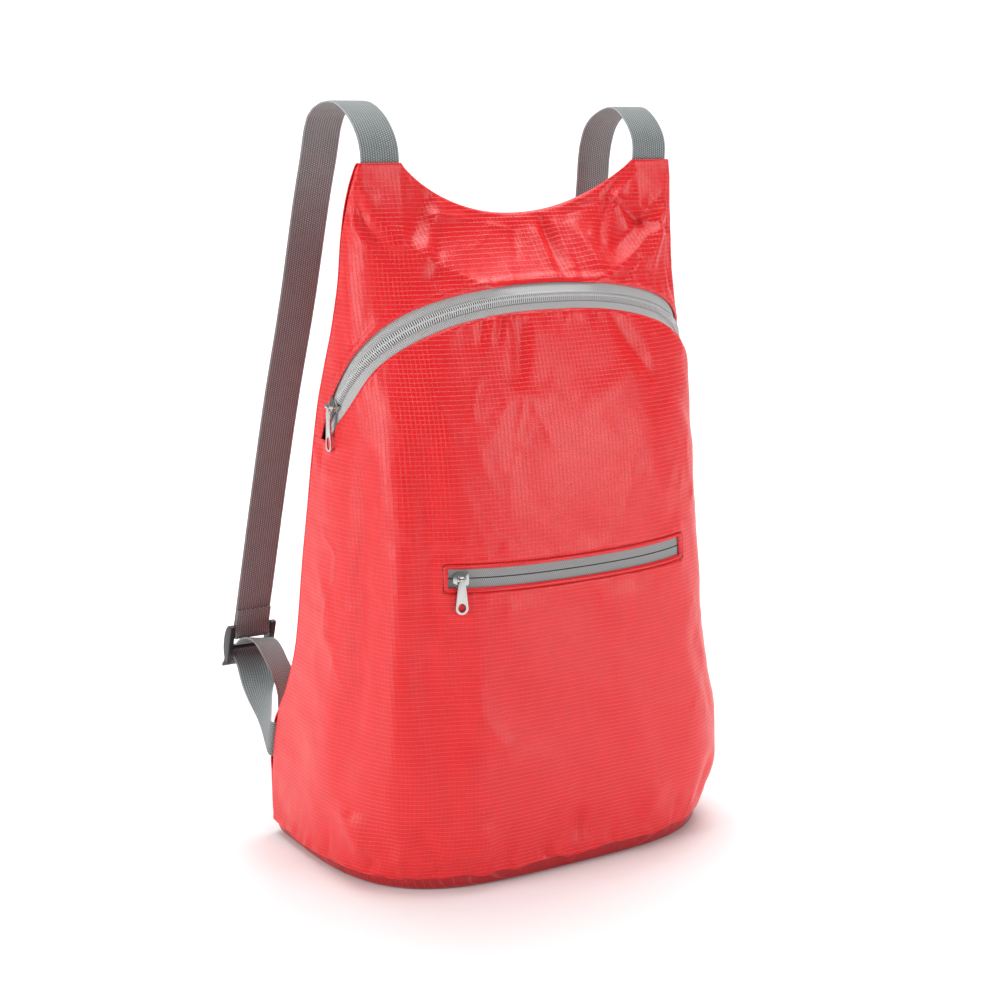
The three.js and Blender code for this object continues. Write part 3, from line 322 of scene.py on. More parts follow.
def pocketLevel(turn):
    return pocket["height"] - pocket["sag"] * np.maximum(1 - (turn / pocketRight) ** 2, 0)


# Lengths along the cloth, for the weave and for the widths of the small folds
arcTurns = np.linspace(-90, 90, 721)
arcHeights = np.linspace(0, bag["height"], 87)
arcPoints = plainFront(arcTurns[:, None], arcHeights[None, :])
arcSteps = np.linalg.norm(np.diff(arcPoints[..., :2], axis=0), axis=-1)
arcLengths = np.concatenate([np.zeros((1, len(arcHeights))), np.cumsum(arcSteps, 0)])
arcLengths -= arcLengths[len(arcTurns) // 2]
evenRow = 40  # the row of heights on which the columns are evenly spaced
pocketRow = 39  # the row of heights next to the pocket's level


def arcAt(turn, height):
    i = np.clip((np.asarray(turn) + 90) / 180 * (len(arcTurns) - 1), 0, len(arcTurns) - 1.001)
    j = np.clip(np.asarray(height) / bag["height"] * (len(arcHeights) - 1), 0, len(arcHeights) - 1.001)
    i0 = i.astype(int)
    j0 = j.astype(int)
    fi = i - i0
    fj = j - j0
    a = arcLengths[i0, j0] * (1 - fi) + arcLengths[i0 + 1, j0] * fi
    b = arcLengths[i0, j0 + 1] * (1 - fi) + arcLengths[i0 + 1, j0 + 1] * fi
    return a * (1 - fj) + b * fj


def softNoise(x, y, seed):
    ix = np.floor(x)
    iy = np.floor(y)
    fx = x - ix
    fy = y - iy

    def corner(a, b):
        v = np.sin(a * 127.1 + b * 311.7 + seed * 74.7) * 43758.5453
        return v - np.floor(v)

    sx = fx * fx * fx * (fx * (fx * 6 - 15) + 10)
    sy = fy * fy * fy * (fy * (fy * 6 - 15) + 10)
    top = corner(ix, iy) * (1 - sx) + corner(ix + 1, iy) * sx
    low = corner(ix, iy + 1) * (1 - sx) + corner(ix + 1, iy + 1) * sx
    return (top * (1 - sy) + low * sy) * 2 - 1


# turn0, height0, turn1, height1, width mm, depth at the start mm, depth at the end mm, sharpness
smallFolds = [
    # pinch under the right shoulder tip, with folds that fan out from it
    (0.36, 0.944, 0.73, 0.915, 2.6, 2.6, 0.5, 1.3),
    (0.40, 0.926, 0.72, 0.893, 3.4, -2.2, -1.2, 1.5),
    (0.36, 0.945, 0.46, 0.988, 2.2, 2.0, 0.6, 1.3),
    (0.34, 0.950, 0.42, 0.990, 2.6, -1.6, -0.4, 1.5),
    (0.36, 0.938, 0.28, 0.857, 2.4, 2.4, 0.7, 1.3),
    (0.33, 0.932, 0.25, 0.862, 2.8, -2.0, -0.8, 1.5),
    (0.37, 0.932, 0.42, 0.888, 2.4, 1.6, 0.3, 1.4),
    (0.40, 0.935, 0.50, 0.895, 3.0, -1.4, -0.3, 1.5),
    (0.345, 0.942, 0.375, 0.936, 2.6, -2.6, -2.0, 1.6),
    # neckline creases
    (0.25, 0.938, 0.33, 0.942, 1.8, -1.4, -0.8, 1.4),
    (0.20, 0.925, 0.26, 0.930, 1.8, -0.9, -0.6, 1.4),
    (0.26, 0.947, 0.31, 0.953, 1.6, 0.9, 0.5, 1.4),
    # soft creases between the neckline and the zip
    (0.103, 0.915, 0.093, 0.842, 2.8, -1.4, -2.6, 1.6),
    (0.060, 0.900, 0.060, 0.842, 3.2, 0.8, 1.8, 1.7),
    (0.145, 0.910, 0.130, 0.845, 3.2, 0.9, 1.3, 1.7),
    (0.172, 0.872, 0.161, 0.836, 2.0, -0.6, -1.6, 1.5),
    (0.255, 0.890, 0.285, 0.860, 2.6, 1.4, 0.6, 1.6),
    (0.400, 0.860, 0.285, 0.824, 2.6, -1.2, -2.2, 1.5),
    (0.430, 0.866, 0.330, 0.826, 3.0, 1.0, 1.5, 1.6),
    (-0.345, 0.950, -0.494, 0.875, 5.5, -2.6, -2.0, 2.0),
    (-0.300, 0.940, -0.430, 0.868, 5.0, 1.4, 1.4, 2.0),
    (-0.331, 0.927, -0.168, 0.921, 3.0, 1.6, 0.8, 1.7),
    (-0.355, 0.880, -0.415, 0.833, 4.0, -1.2, -1.0, 2.0),
    (-0.016, 0.905, -0.062, 0.857, 3.0, -0.9, -0.6, 1.8),
    (-0.111, 0.912, -0.010, 0.901, 2.2, 0.8, 0.5, 1.6),
    (-0.800, 0.968, -0.520, 0.948, 4.0, 1.3, 0.8, 1.9),
    (-0.860, 0.940, -0.560, 0.930, 4.5, -1.3, -1.0, 1.9),
    (-0.760, 0.915, -0.600, 0.880, 4.0, 1.0, 0.5, 1.9),
    # gathers under the zip
    (-0.250, 0.797, -0.272, 0.748, 2.0, -2.0, -0.3, 1.5),
    (-0.216, 0.797, -0.240, 0.752, 2.2, 1.3, 0.2, 1.6),
    (-0.181, 0.797, -0.216, 0.752, 1.9, -1.8, -0.3, 1.5),
    (-0.166, 0.799, -0.185, 0.765, 1.8, 1.0, 0.2, 1.6),
    (-0.151, 0.799, -0.150, 0.770, 1.6, -1.5, -0.2, 1.5),
    (0.049, 0.803, 0.020, 0.778, 1.6, -1.3, -0.2, 1.5),
    (0.075, 0.803, 0.050, 0.778, 1.8, 0.9, 0.1, 1.5),
    (0.165, 0.800, 0.142, 0.772, 1.6, -1.3, -0.2, 1.5),
    (0.190, 0.800, 0.175, 0.775, 1.8, 0.9, 0.1, 1.5),
    (0.300, 0.795, 0.288, 0.774, 1.6, -1.1, -0.2, 1.5),
    (0.230, 0.798, 0.225, 0.780, 1.5, -0.7, -0.1, 1.5),
    # broad soft folds of the front
    (0.028, 0.655, 0.390, 0.735, 9.0, 0.8, 1.8, 2.0),
    (0.396, 0.702, 0.583, 0.615, 8.0, -1.4, -2.4, 2.0),
    (0.180, 0.640, 0.470, 0.690, 8.0, -0.9, -1.0, 2.0),
    (-0.570, 0.664, -0.574, 0.475, 8.0, 1.2, 1.2, 2.0),
    (-0.459, 0.620, -0.440, 0.340, 9.0, -2.2, -2.6, 2.0),
    (-0.530, 0.476, -0.505, 0.113, 7.0, 1.0, 1.2, 2.0),
    (-0.453, 0.340, -0.400, 0.120, 9.0, -2.2, -1.6, 2.0),
    (-0.330, 0.420, -0.300, 0.200, 9.0, 1.0, 0.8, 2.0),
    (-0.300, 0.470, -0.200, 0.520, 5.0, -1.0, -0.5, 1.8),
    (0.440, 0.300, 0.500, 0.120, 8.0, -1.3, -1.3, 2.0),
    (0.150, 0.300, 0.260, 0.120, 9.0, 0.9, 0.9, 2.0),
    # puckers over the base seam
    (-0.700, 0.030, -0.690, 0.085, 3.0, -1.8, -0.4, 1.6),
    (-0.560, 0.030, -0.565, 0.080, 3.2, -1.6, -0.4, 1.6),
    (-0.480, 0.030, -0.490, 0.095, 3.0, 1.6, 0.4, 1.6),
    (-0.400, 0.030, -0.410, 0.080, 2.8, -1.6, -0.3, 1.6),
    (-0.200, 0.030, -0.190, 0.085, 3.2, 1.2, 0.3, 1.6),
    (-0.100, 0.030, -0.110, 0.070, 2.8, -1.4, -0.3, 1.6),
    (0.130, 0.030, 0.120, 0.075, 3.0, -1.2, -0.3, 1.6),
    (0.340, 0.030, 0.330, 0.090, 3.2, -1.6, -0.3, 1.6),
    (0.390, 0.030, 0.400, 0.080, 2.8, 1.4, 0.3, 1.6),
    (0.520, 0.030, 0.500, 0.075, 3.0, -1.8, -0.3, 1.6),
]


def smallFold(turn, height):
    u = arcAt(turn, height)
    offset = np.zeros_like(u)
    for turn0, height0, turn1, height1, width, depth0, depth1, sharpness in smallFolds:
        startV = height0 * bag["height"]
        endV = height1 * bag["height"]
        startU = float(arcAt(np.array(turn0 * 90), np.array(startV)))
        endU = float(arcAt(np.array(turn1 * 90), np.array(endV)))
        runU = endU - startU
        runV = endV - startV
        raw = ((u - startU) * runU + (height - startV) * runV) / (runU**2 + runV**2)
        t = np.clip(raw, 0, 1)
        away = np.hypot(u - startU - t * runU, height - startV - t * runV)
        depth = (depth0 + (depth1 - depth0) * t) * (1 - 0.75 * smoothStep(t, 0.6, 1))
        offset += depth * np.exp(-((away / width) ** sharpness))
    return offset


def sharpRidge(x, y, seed):
    return (1 - np.abs(softNoise(x, y, seed))) ** 3 - 0.35


def creases(u, v):
    swell = softNoise(u / 46, v / 62, 3) * 1.3 + softNoise(u / 23 + v / 60, v / 34, 5) * 0.8
    where = smoothStep(softNoise(u / 55, v / 48, 13), -0.5, 0.5)
    folds = (sharpRidge(u / 30 + v / 70, v / 58 - u / 90, 23) * 0.9
             + sharpRidge(u / 17 - v / 50, v / 30 + u / 70, 29) * 0.55)
    crumple = (sharpRidge(u / 8.5 + v / 31, v / 11 - u / 37, 37) * 0.22
               + softNoise(u / 4.4, v / 6.2 + u / 14, 11) * 0.10)
    return swell + where * folds + (0.35 + 0.65 * where) * crumple


def edgePucker(along, away, pitch, reach, height, seed):
    ripple = (softNoise(along / pitch, away / (reach * 1.6), seed)
              + 0.4 * softNoise(along / pitch * 2.3, away / reach, seed + 1))
    return height * ripple * np.exp(-away / reach)


def seamFade(turn):
    return float(1 - 0.6 * smoothStep(np.abs(np.array(turn)), 80, 89))


def baseScallop(u):
    ripple = (softNoise(u / 13.0, np.zeros_like(u) + 0.3, 17)
              + 0.6 * softNoise(u / 5.2, np.zeros_like(u) + 0.7, 19))
    leftHang = 2.6 * (1 - smoothStep(u, -150, -95))
    rightHang = 1.0 * smoothStep(u, 120, 160)
    return 3.6 + 1.5 * ripple + leftHang + rightHang


def outsidePocket(turn, height):
    u = arcAt(turn, height)
    left = float(arcAt(np.array(pocketLeft), np.array(pocket["height"])))
    right = float(arcAt(np.array(pocketRight), np.array(pocket["height"])))
    du = np.maximum(np.maximum(left - u, u - right), 0)
    dv = np.maximum(np.abs(height - pocketLevel(turn)) - pocket["opening"] / 2, 0)
    return np.hypot(du, dv), u


def frontRelief(turn, height):
    u = arcAt(turn, height)
    toArch = np.maximum(clothEdge(turn) - height, 0) / archStretch(np.clip(turn, -82, 82))
    toBase = np.maximum(height - bag["rimHeight"] + baseScallop(u), 0)
    toSide = (90 - np.abs(turn)) / 90 * 60
    fromPocket, _ = outsidePocket(turn, height)
    calm = smoothStep(toArch, 1, 14) * smoothStep(toBase, 2, 22) * smoothStep(toSide, 1.5, 12)
    calm *= smoothStep(fromPocket, 4, 18)
    relief = creases(u, height) * calm
    folds = smallFold(turn, height) * smoothStep(toSide, 1.5, 10) * smoothStep(fromPocket, 3.2, 12)
    relief += folds * (0.35 + 0.65 * smoothStep(toArch, 0.2, 3)) * (0.4 + 0.6 * smoothStep(toBase, 0, 3))
    relief += edgePucker(u, toArch, 5.0, 8.0, 0.9, 21) * smoothStep(toArch, 0.4, 3)
    relief += edgePucker(u, toBase, 7.0, 12.0, 1.3, 31) * smoothStep(toBase, 0.5, 4)
    relief += edgePucker(height, toSide, 10.0, 9.0, 0.6, 41) * smoothStep(toSide, 1, 5)
    besidePocket = smoothStep(fromPocket, 3.0, 5.5) * (fromPocket > 0)
    relief += edgePucker(u, fromPocket, 6.0, 8.0, 0.8, 51) * besidePocket
    # the folded edge rolls in at the zip and hangs over the base at the bottom
    seamShut = 1 - smoothStep(np.abs(turn), 79, 84)
    relief -= 1.1 * (1 - smoothStep(toArch, 0, 1.7)) * seamShut
    relief -= 1.0 * (1 - smoothStep(toBase, 0, 1.3))
    relief += 0.8 * np.exp(-(((toBase - 3.5) / 4.5) ** 2))
    # the pocket's folded frame and the stitched groove round it
    width = pocket["frameWidth"]
    relief -= 1.1 * (1 - smoothStep(fromPocket, 0, 0.9))
    relief += 0.35 * smoothStep(fromPocket, 0.4, 1.2) * (1 - smoothStep(fromPocket, width - 0.9, width))
    relief -= 0.8 * np.exp(-(((fromPocket - width) / 0.55) ** 2))
    return relief


def yokeRelief(turn, height):
    u = arcAt(turn, height)
    top = topHeight(cornerShares(turn, 4.0)[0])
    toArch = np.maximum(height - archUpper(turn), 0) / archStretch(np.clip(turn, -82, 82))
    toTop = np.maximum(top - height, 0)
    toSide = (90 - np.abs(turn)) / 90 * 60
    calm = smoothStep(toArch, 1, 12) * smoothStep(toTop, 1, 14) * smoothStep(toSide, 1.5, 12)
    relief = creases(u + 40, height) * 0.9 * calm
    relief += smallFold(turn, height) * smoothStep(toSide, 1.5, 10) * smoothStep(toTop, 0.3, 5) * (
        0.35 + 0.65 * smoothStep(toArch, 0.2, 3))
    relief += edgePucker(u, toArch, 5.0, 7.0, 0.8, 61) * smoothStep(toArch, 0.4, 3)
    relief += edgePucker(u, toTop, 7.0, 7.0, 0.7, 71) * smoothStep(toTop, 0.8, 4)
    relief += edgePucker(height, toSide, 10.0, 8.0, 0.5, 81) * smoothStep(toSide, 1, 5)
    seamShut = 1 - smoothStep(np.abs(turn), 79, 84)
    relief -= 0.45 * (1 - smoothStep(toArch, 0, 1.2)) * seamShut
    relief += 0.7 * np.exp(-(((toArch - 2.6) / 1.8) ** 2)) * seamShut
    relief -= 0.5 * (1 - smoothStep(toTop, 0, 1.2))
    return relief


# Mesh helpers
def makeObject(name, vertices, faces, body="bag"):
    mesh = bpy.data.meshes.new(name)
    mesh.from_pydata([tuple(v) for v in (np.asarray(vertices) * millimetre).tolist()], [], faces)
    mesh.update()
    obj = bpy.data.objects.new(name, mesh)
    bpy.context.scene.collection.objects.link(obj)
    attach(obj, body)
    return obj


def setUv(obj, perVertex):
    layer = obj.data.uv_layers.new(name="cloth")
    index = np.empty(len(obj.data.loops), dtype=np.int32)
    obj.data.loops.foreach_get("vertex_index", index)
    layer.data.foreach_set("uv", (np.asarray(perVertex)[index] / 100).astype(np.float32).ravel())


def makeActive(obj):
    bpy.ops.object.select_all(action="DESELECT")
    obj.select_set(True)
    bpy.context.view_layer.objects.active = obj


def smoothShade(obj, degrees):
    makeActive(obj)
    bpy.ops.object.shade_smooth_by_angle(angle=math.radians(degrees))


def clothPiece(name, points, uv, thickness, isOpen=None, degrees=50):
    columns, rows = points.shape[:2]
    faces = []
    for i in range(columns - 1):
        for j in range(rows - 1):
            if isOpen is not None and isOpen(i, j):
                continue
            a = i * rows + j
            b = a + rows
            faces.append((a, b, b + 1, a + 1))
    obj = makeObject(name, points.reshape(-1, 3), faces)
    setUv(obj, uv.reshape(-1, 2))
    wall = obj.modifiers.new("wall", "SOLIDIFY")
    wall.thickness = thickness * millimetre
    wall.offset = -1
    makeActive(obj)
    bpy.ops.object.modifier_apply(modifier="wall")
    smoothShade(obj, degrees)
    return obj


def heightRow(low, high, count, nearLow, nearHigh):
    first = [low + d for d in nearLow]
    last = [high - d for d in reversed(nearHigh)]
    start = first[-1] if first else low
    end = last[0] if last else high
    middle = [start + (end - start) * k / count for k in range(1, count)]
    return first + middle + last


# Materials
def newMaterial(name):
    material = bpy.data.materials.new(name)
    material.use_nodes = True
    tree = material.node_tree
    shader = tree.nodes["Principled BSDF"]
    return material, tree, shader


def math2(tree, operation, a, b=None, c=None):
    node = tree.nodes.new("ShaderNodeMath")
    node.operation = operation
    for k, value in enumerate((a, b, c)):
        if value is None:
            continue
        if isinstance(value, (int, float)):
            node.inputs[k].default_value = value
        else:
            tree.links.new(value, node.inputs[k])
    return node.outputs[0]


def ramp(tree, value, low, high):
    node = tree.nodes.new("ShaderNodeMapRange")
    node.interpolation_type = "SMOOTHSTEP"
    tree.links.new(value, node.inputs["Value"])
    node.inputs["From Min"].default_value = low
    node.inputs["From Max"].default_value = high
    return node.outputs["Result"]


def mixColour(tree, factor, a, b):
    node = tree.nodes.new("ShaderNodeMix")
    node.data_type = "RGBA"
    if isinstance(factor, (int, float)):
        node.inputs[0].default_value = factor
    else:
        tree.links.new(factor, node.inputs[0])
    for socket, value in ((node.inputs[6], a), (node.inputs[7], b)):
        if isinstance(value, tuple):
            socket.default_value = (*value, 1)
        else:
            tree.links.new(value, socket)
    return node.outputs[2]


def uvParts(tree, name="cloth"):
    uv = tree.nodes.new("ShaderNodeUVMap")
    uv.uv_map = name
    parts = tree.nodes.new("ShaderNodeSeparateXYZ")
    tree.links.new(uv.outputs["UV"], parts.inputs[0])
    return uv.outputs["UV"], parts.outputs["X"], parts.outputs["Y"]


def noiseAt(tree, vector, scale, detail=3.0):
    node = tree.nodes.new("ShaderNodeTexNoise")
    tree.links.new(vector, node.inputs["Vector"])
    node.inputs["Scale"].default_value = scale
    node.inputs["Detail"].default_value = detail
    return node.outputs["Fac"]


def bump(tree, shader, height, distance, strength=1.0):
    node = tree.nodes.new("ShaderNodeBump")
    node.inputs["Distance"].default_value = distance
    node.inputs["Strength"].default_value = strength
    tree.links.new(height, node.inputs["Height"])
    tree.links.new(node.outputs["Normal"], shader.inputs["Normal"])
    return node


cloth = {
    "colour": (0.75, 0.004, 0.010),
    "deepColour": (0.70, 0.003, 0.008),
    # painted highlight and painted shade of the ripstop's raised threads
    "paintedThreadHighlight": (0.90, 0.12, 0.10),
    "paintedThreadShade": (0.46, 0.002, 0.005),
    "gridPitch": 2.6,
    "gridWidth": 0.11,
    "roughness": 0.37,
    "gloss": 0.52,
    "sheen": 0.05,
}


def ripstop(name, colour, deepColour):
    material, tree, shader = newMaterial(name)
    uv, u, v = uvParts(tree)
    cell = 100 / cloth["gridPitch"]
    lines = []
    for axis in (u, v):
        distance = math2(tree, "PINGPONG", math2(tree, "MULTIPLY", axis, cell), 0.5)
        line = ramp(tree, distance, cloth["gridWidth"], 0.02)
        lines.append(line)
    grid = math2(tree, "MAXIMUM", lines[0], lines[1])
    thread = 100 / 0.42
    weave = math2(tree, "MULTIPLY",
                  math2(tree, "SINE", math2(tree, "MULTIPLY", u, thread * math.pi)),
                  math2(tree, "SINE", math2(tree, "MULTIPLY", v, thread * math.pi)))
    cloud = noiseAt(tree, uv, 9.0, 4.0)
    grain = noiseAt(tree, uv, 160.0, 2.0)
    tone = mixColour(tree, ramp(tree, cloud, 0.3, 0.75), colour, deepColour)
    # Painted light on the ripstop grid: vertical threads are darkened as painted shade and horizontal threads
    # lightened as a painted highlight, standing in for the raised threads catching the light.
    share = colour[0] / cloth["colour"][0]
    paintedThreadShade = tuple(c * share for c in cloth["paintedThreadShade"])
    paintedThreadHighlight = tuple(c * share for c in cloth["paintedThreadHighlight"])
    tone = mixColour(tree, math2(tree, "MULTIPLY", lines[0], 0.45), tone, paintedThreadShade)
    tone = mixColour(tree, math2(tree, "MULTIPLY", lines[1], 0.50), tone, paintedThreadHighlight)
    tree.links.new(tone, shader.inputs["Base Color"])
    rough = math2(tree, "ADD", math2(tree, "MULTIPLY", cloud, 0.10), cloth["roughness"] - 0.05)
    rough = math2(tree, "SUBTRACT", rough, math2(tree, "MULTIPLY", grid, 0.06))
    tree.links.new(rough, shader.inputs["Roughness"])
    height = math2(tree, "MULTIPLY_ADD", grid, 1.0, math2(tree, "MULTIPLY", weave, 0.10))
    height = math2(tree, "MULTIPLY_ADD", grain, 0.35, height)
    bump(tree, shader, height, 0.00012, 0.9)
    shader.inputs["Specular IOR Level"].default_value = cloth["gloss"]
    shader.inputs["Sheen Weight"].default_value = cloth["sheen"]
    shader.inputs["Sheen Roughness"].default_value = 0.35
    shader.inputs["Sheen Tint"].default_value = (1.0, 0.62, 0.60, 1)
    return material


def webbingLook(name, colour, darkColour):
    material, tree, shader = newMaterial(name)
    uv, u, v = uvParts(tree)
    ribPitch = webbing["width"] / webbing["columns"]
    across = math2(tree, "PINGPONG", math2(tree, "MULTIPLY", u, 100 / ribPitch), 0.5)
    rib = ramp(tree, across, 0.06, 0.36)
    half = math2(tree, "FLOOR", math2(tree, "MULTIPLY", u, 100 / ribPitch))
    along = math2(tree, "MULTIPLY_ADD", half, 0.5, math2(tree, "MULTIPLY", v, 100 / webbing["dashPitch"]))
    dash = ramp(tree, math2(tree, "PINGPONG", along, 0.5), 0.05, 0.30)
    yarn = math2(tree, "MULTIPLY", rib, dash)
    fromMiddle = math2(tree, "ABSOLUTE", math2(tree, "SUBTRACT", u, webbing["width"] / 200))
    selvedge = ramp(tree, fromMiddle, 0.113, 0.121)
    fray = noiseAt(tree, uv, 420.0, 3.0)
    cloud = noiseAt(tree, uv, 12.0, 3.0)
    tone = mixColour(tree, ramp(tree, yarn, 0.0, 0.9), darkColour, colour)
    tone = mixColour(tree, math2(tree, "MULTIPLY", selvedge, 0.7), tone, colour)
    tone = mixColour(tree, math2(tree, "MULTIPLY", ramp(tree, cloud, 0.35, 0.8), 0.18), tone, darkColour)
    tone = mixColour(tree, math2(tree, "MULTIPLY", ramp(tree, fray, 0.45, 0.8), 0.25), tone, darkColour)
    tree.links.new(tone, shader.inputs["Base Color"])
    shader.inputs["Roughness"].default_value = 0.72
    shader.inputs["Specular IOR Level"].default_value = 0.35
    shader.inputs["Sheen Weight"].default_value = 0.15
    height = math2(tree, "MULTIPLY_ADD", fray, 0.3, yarn)
    bump(tree, shader, height, 0.00025, 0.8)
    return material


def tapeLook(name, colour, darkColour, shadeAtCoilColour, coilReach):
    material, tree, shader = newMaterial(name)
    uv, u, v = uvParts(tree)
    zigzag = math2(tree, "PINGPONG", math2(tree, "MULTIPLY", v, 100 / 1.3), 1.0)
    slanted = math2(tree, "MULTIPLY_ADD", u, 100 / 1.3, zigzag)
    twill = ramp(tree, math2(tree, "PINGPONG", slanted, 0.5), 0.05, 0.4)
    fray = noiseAt(tree, uv, 300.0, 3.0)
    tone = mixColour(tree, twill, darkColour, colour)
    tone = mixColour(tree, math2(tree, "MULTIPLY", ramp(tree, fray, 0.4, 0.8), 0.3), tone, darkColour)
    # Painted shade: the tape along the coil is darkened to stand in for the shade between the coil's teeth
    # and in the gap where the two tapes meet.
    shadeBesideCoil = ramp(tree, v, coilReach / 100, (coilReach + 0.35) / 100)
    tone = mixColour(tree, shadeBesideCoil, shadeAtCoilColour, tone)
    tree.links.new(tone, shader.inputs["Base Color"])
    shader.inputs["Roughness"].default_value = 0.7
    shader.inputs["Specular IOR Level"].default_value = 0.3
    height = math2(tree, "MULTIPLY_ADD", fray, 0.4, twill)
    bump(tree, shader, height, 0.00014, 0.7)
    return material


def solidLook(name, colour, roughness, metallic=0.0, grain=0.0, grainScale=900.0, gloss=0.5):
    material, tree, shader = newMaterial(name)
    place = tree.nodes.new("ShaderNodeTexCoord")
    spots = noiseAt(tree, place.outputs["Object"], grainScale, 3.0)
    tone = mixColour(tree, ramp(tree, spots, 0.3, 0.8), colour, tuple(c * 0.86 for c in colour))
    tree.links.new(tone, shader.inputs["Base Color"])
    rough = math2(tree, "MULTIPLY_ADD", spots, 0.12, roughness - 0.06)
    tree.links.new(rough, shader.inputs["Roughness"])
    shader.inputs["Metallic"].default_value = metallic
    shader.inputs["Specular IOR Level"].default_value = gloss
    if grain:
        bump(tree, shader, spots, grain, 0.6)
    return material


redCloth = ripstop("red ripstop", cloth["colour"], cloth["deepColour"])
# The base's cloth is the same red ripstop darkened: painted shade for the base that turns under, away from
# the light.
shadedBaseCloth = ripstop("red ripstop with painted shade", (0.40, 0.003, 0.008), (0.34, 0.002, 0.006))
greyWebbing = webbingLook("grey webbing", (0.34, 0.372, 0.378), (0.115, 0.126, 0.128))
# The last two values set the painted shade beside the coil: a wide dark band under the main coil's teeth, and
# a dark hairline where the pocket tapes meet.
paleTape = tapeLook("pale zip tape", (0.62, 0.625, 0.625), (0.27, 0.275, 0.275), (0.12, 0.12, 0.122), 2.9)
pocketTape = tapeLook(
    "grey pocket tape", (0.38, 0.385, 0.385), (0.19, 0.194, 0.194), (0.03, 0.03, 0.031), 0.06)
coilNylon = solidLook("coil nylon", (0.62, 0.625, 0.625), 0.30, grain=0.00002)
plated = solidLook("bright plate", (0.60, 0.60, 0.59), 0.14, metallic=1.0, grain=0.00001, grainScale=1500.0)
buckleNylon = solidLook("buckle nylon", (0.028, 0.028, 0.030), 0.46, grain=0.00003, gloss=0.35)
redThread = solidLook("red thread", (0.15, 0.003, 0.006), 0.6, grain=0.00003)
print("materials made")


def dress(obj, material, *replaced, slot=None):
    obj.data.materials.clear()
    obj.data.materials.append(material)
    if replaced:
        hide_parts(*replaced)


# Columns that follow equal lengths of cloth, closer together at the pocket's ends
clothGrid = {
    "step": 1.55,
    "seamRows": (0, 0.5, 1.1, 1.8, 2.7, 4.0),
    "pocketRows": (0, 0.6, 1.3, 2.0, 2.5, 2.9, 3.3, 3.9, 4.8, 6.2),
    "rowsBelow": 84,
    "rowsAbove": 62,
    "yokeRows": 84,
}


def clothTurns():
    lengths = arcLengths[:, evenRow]
    count = int((lengths[-1] - lengths[0]) / clothGrid["step"])
    even = np.interp(np.linspace(lengths[0], lengths[-1], count + 1), lengths, arcTurns)
    ends = []
    for edge, side in ((pocketLeft, -1), (pocketRight, 1)):
        base = float(arcAt(np.array(edge), np.array(pocket["height"])))
        lengthsThere = arcLengths[:, pocketRow]
        row = [np.interp(base + side * d, lengthsThere, arcTurns) for d in clothGrid["pocketRows"]]
        row[0] = edge
        ends.extend(row)
        low, high = min(row), max(row)
        even = even[(even < low - 0.25) | (even > high + 0.25)]
    return np.sort(np.concatenate([even, ends]))


turns = clothTurns()
seamRows = clothGrid["seamRows"]
pocketRows = clothGrid["pocketRows"]
wallBottom = bag["rimHeight"] + bag["seamGap"]


def frontCloth():
    grid = []
    for turn in turns:
        level = float(pocketLevel(turn))
        low = level - pocket["opening"] / 2
        high = level + pocket["opening"] / 2
        stretch = float(archStretch(np.clip(turn, -82, 82)))
        nearArch = [d * min(stretch, 4) for d in seamRows]
        drop = float(baseScallop(arcAt(np.array(turn), np.array(wallBottom)))) * seamFade(turn)
        below = heightRow(wallBottom - drop, low, clothGrid["rowsBelow"], seamRows, pocketRows)
        above = heightRow(high, float(clothEdge(turn)), clothGrid["rowsAbove"], pocketRows, nearArch)
        grid.append(below + above)
    heights = np.array(grid)
    turnGrid = np.repeat(turns[:, None], heights.shape[1], 1)
    relief = frontRelief(turnGrid, heights)
    points = frontPoint(turnGrid, heights, bag["cloth"] + relief)
    uv = np.stack([arcAt(turnGrid, heights), heights * 1.01], -1)
    splitRow = len(heightRow(0, 100, clothGrid["rowsBelow"], seamRows, pocketRows)) - 1
    leftColumn = int(np.argmin(np.abs(turns - pocketLeft)))
    rightColumn = int(np.argmin(np.abs(turns - pocketRight)))

    def inPocket(i, j):
        return j == splitRow and leftColumn <= i < rightColumn

    return clothPiece("frontCloth", points, uv, 1.0, inPocket)


def yokeCloth():
    grid = []
    for turn in turns:
        top = float(topHeight(cornerShares(turn, bagSections[-1][5])[0]))
        stretch = float(archStretch(np.clip(turn, -82, 82)))
        nearArch = [d * min(stretch, 4) for d in seamRows]
        low = float(archUpper(turn))
        grid.append(heightRow(low, top, clothGrid["yokeRows"], nearArch, (0, 0.5, 1.1, 1.9, 3.0)))
    heights = np.array(grid)
    turnGrid = np.repeat(turns[:, None], heights.shape[1], 1)
    points = frontPoint(turnGrid, heights, bag["cloth"] + yokeRelief(turnGrid, heights))
    uv = np.stack([arcAt(turnGrid, heights) + 0.9, heights * 1.01], -1)
    return clothPiece("yokeCloth", points, uv, 0.9)


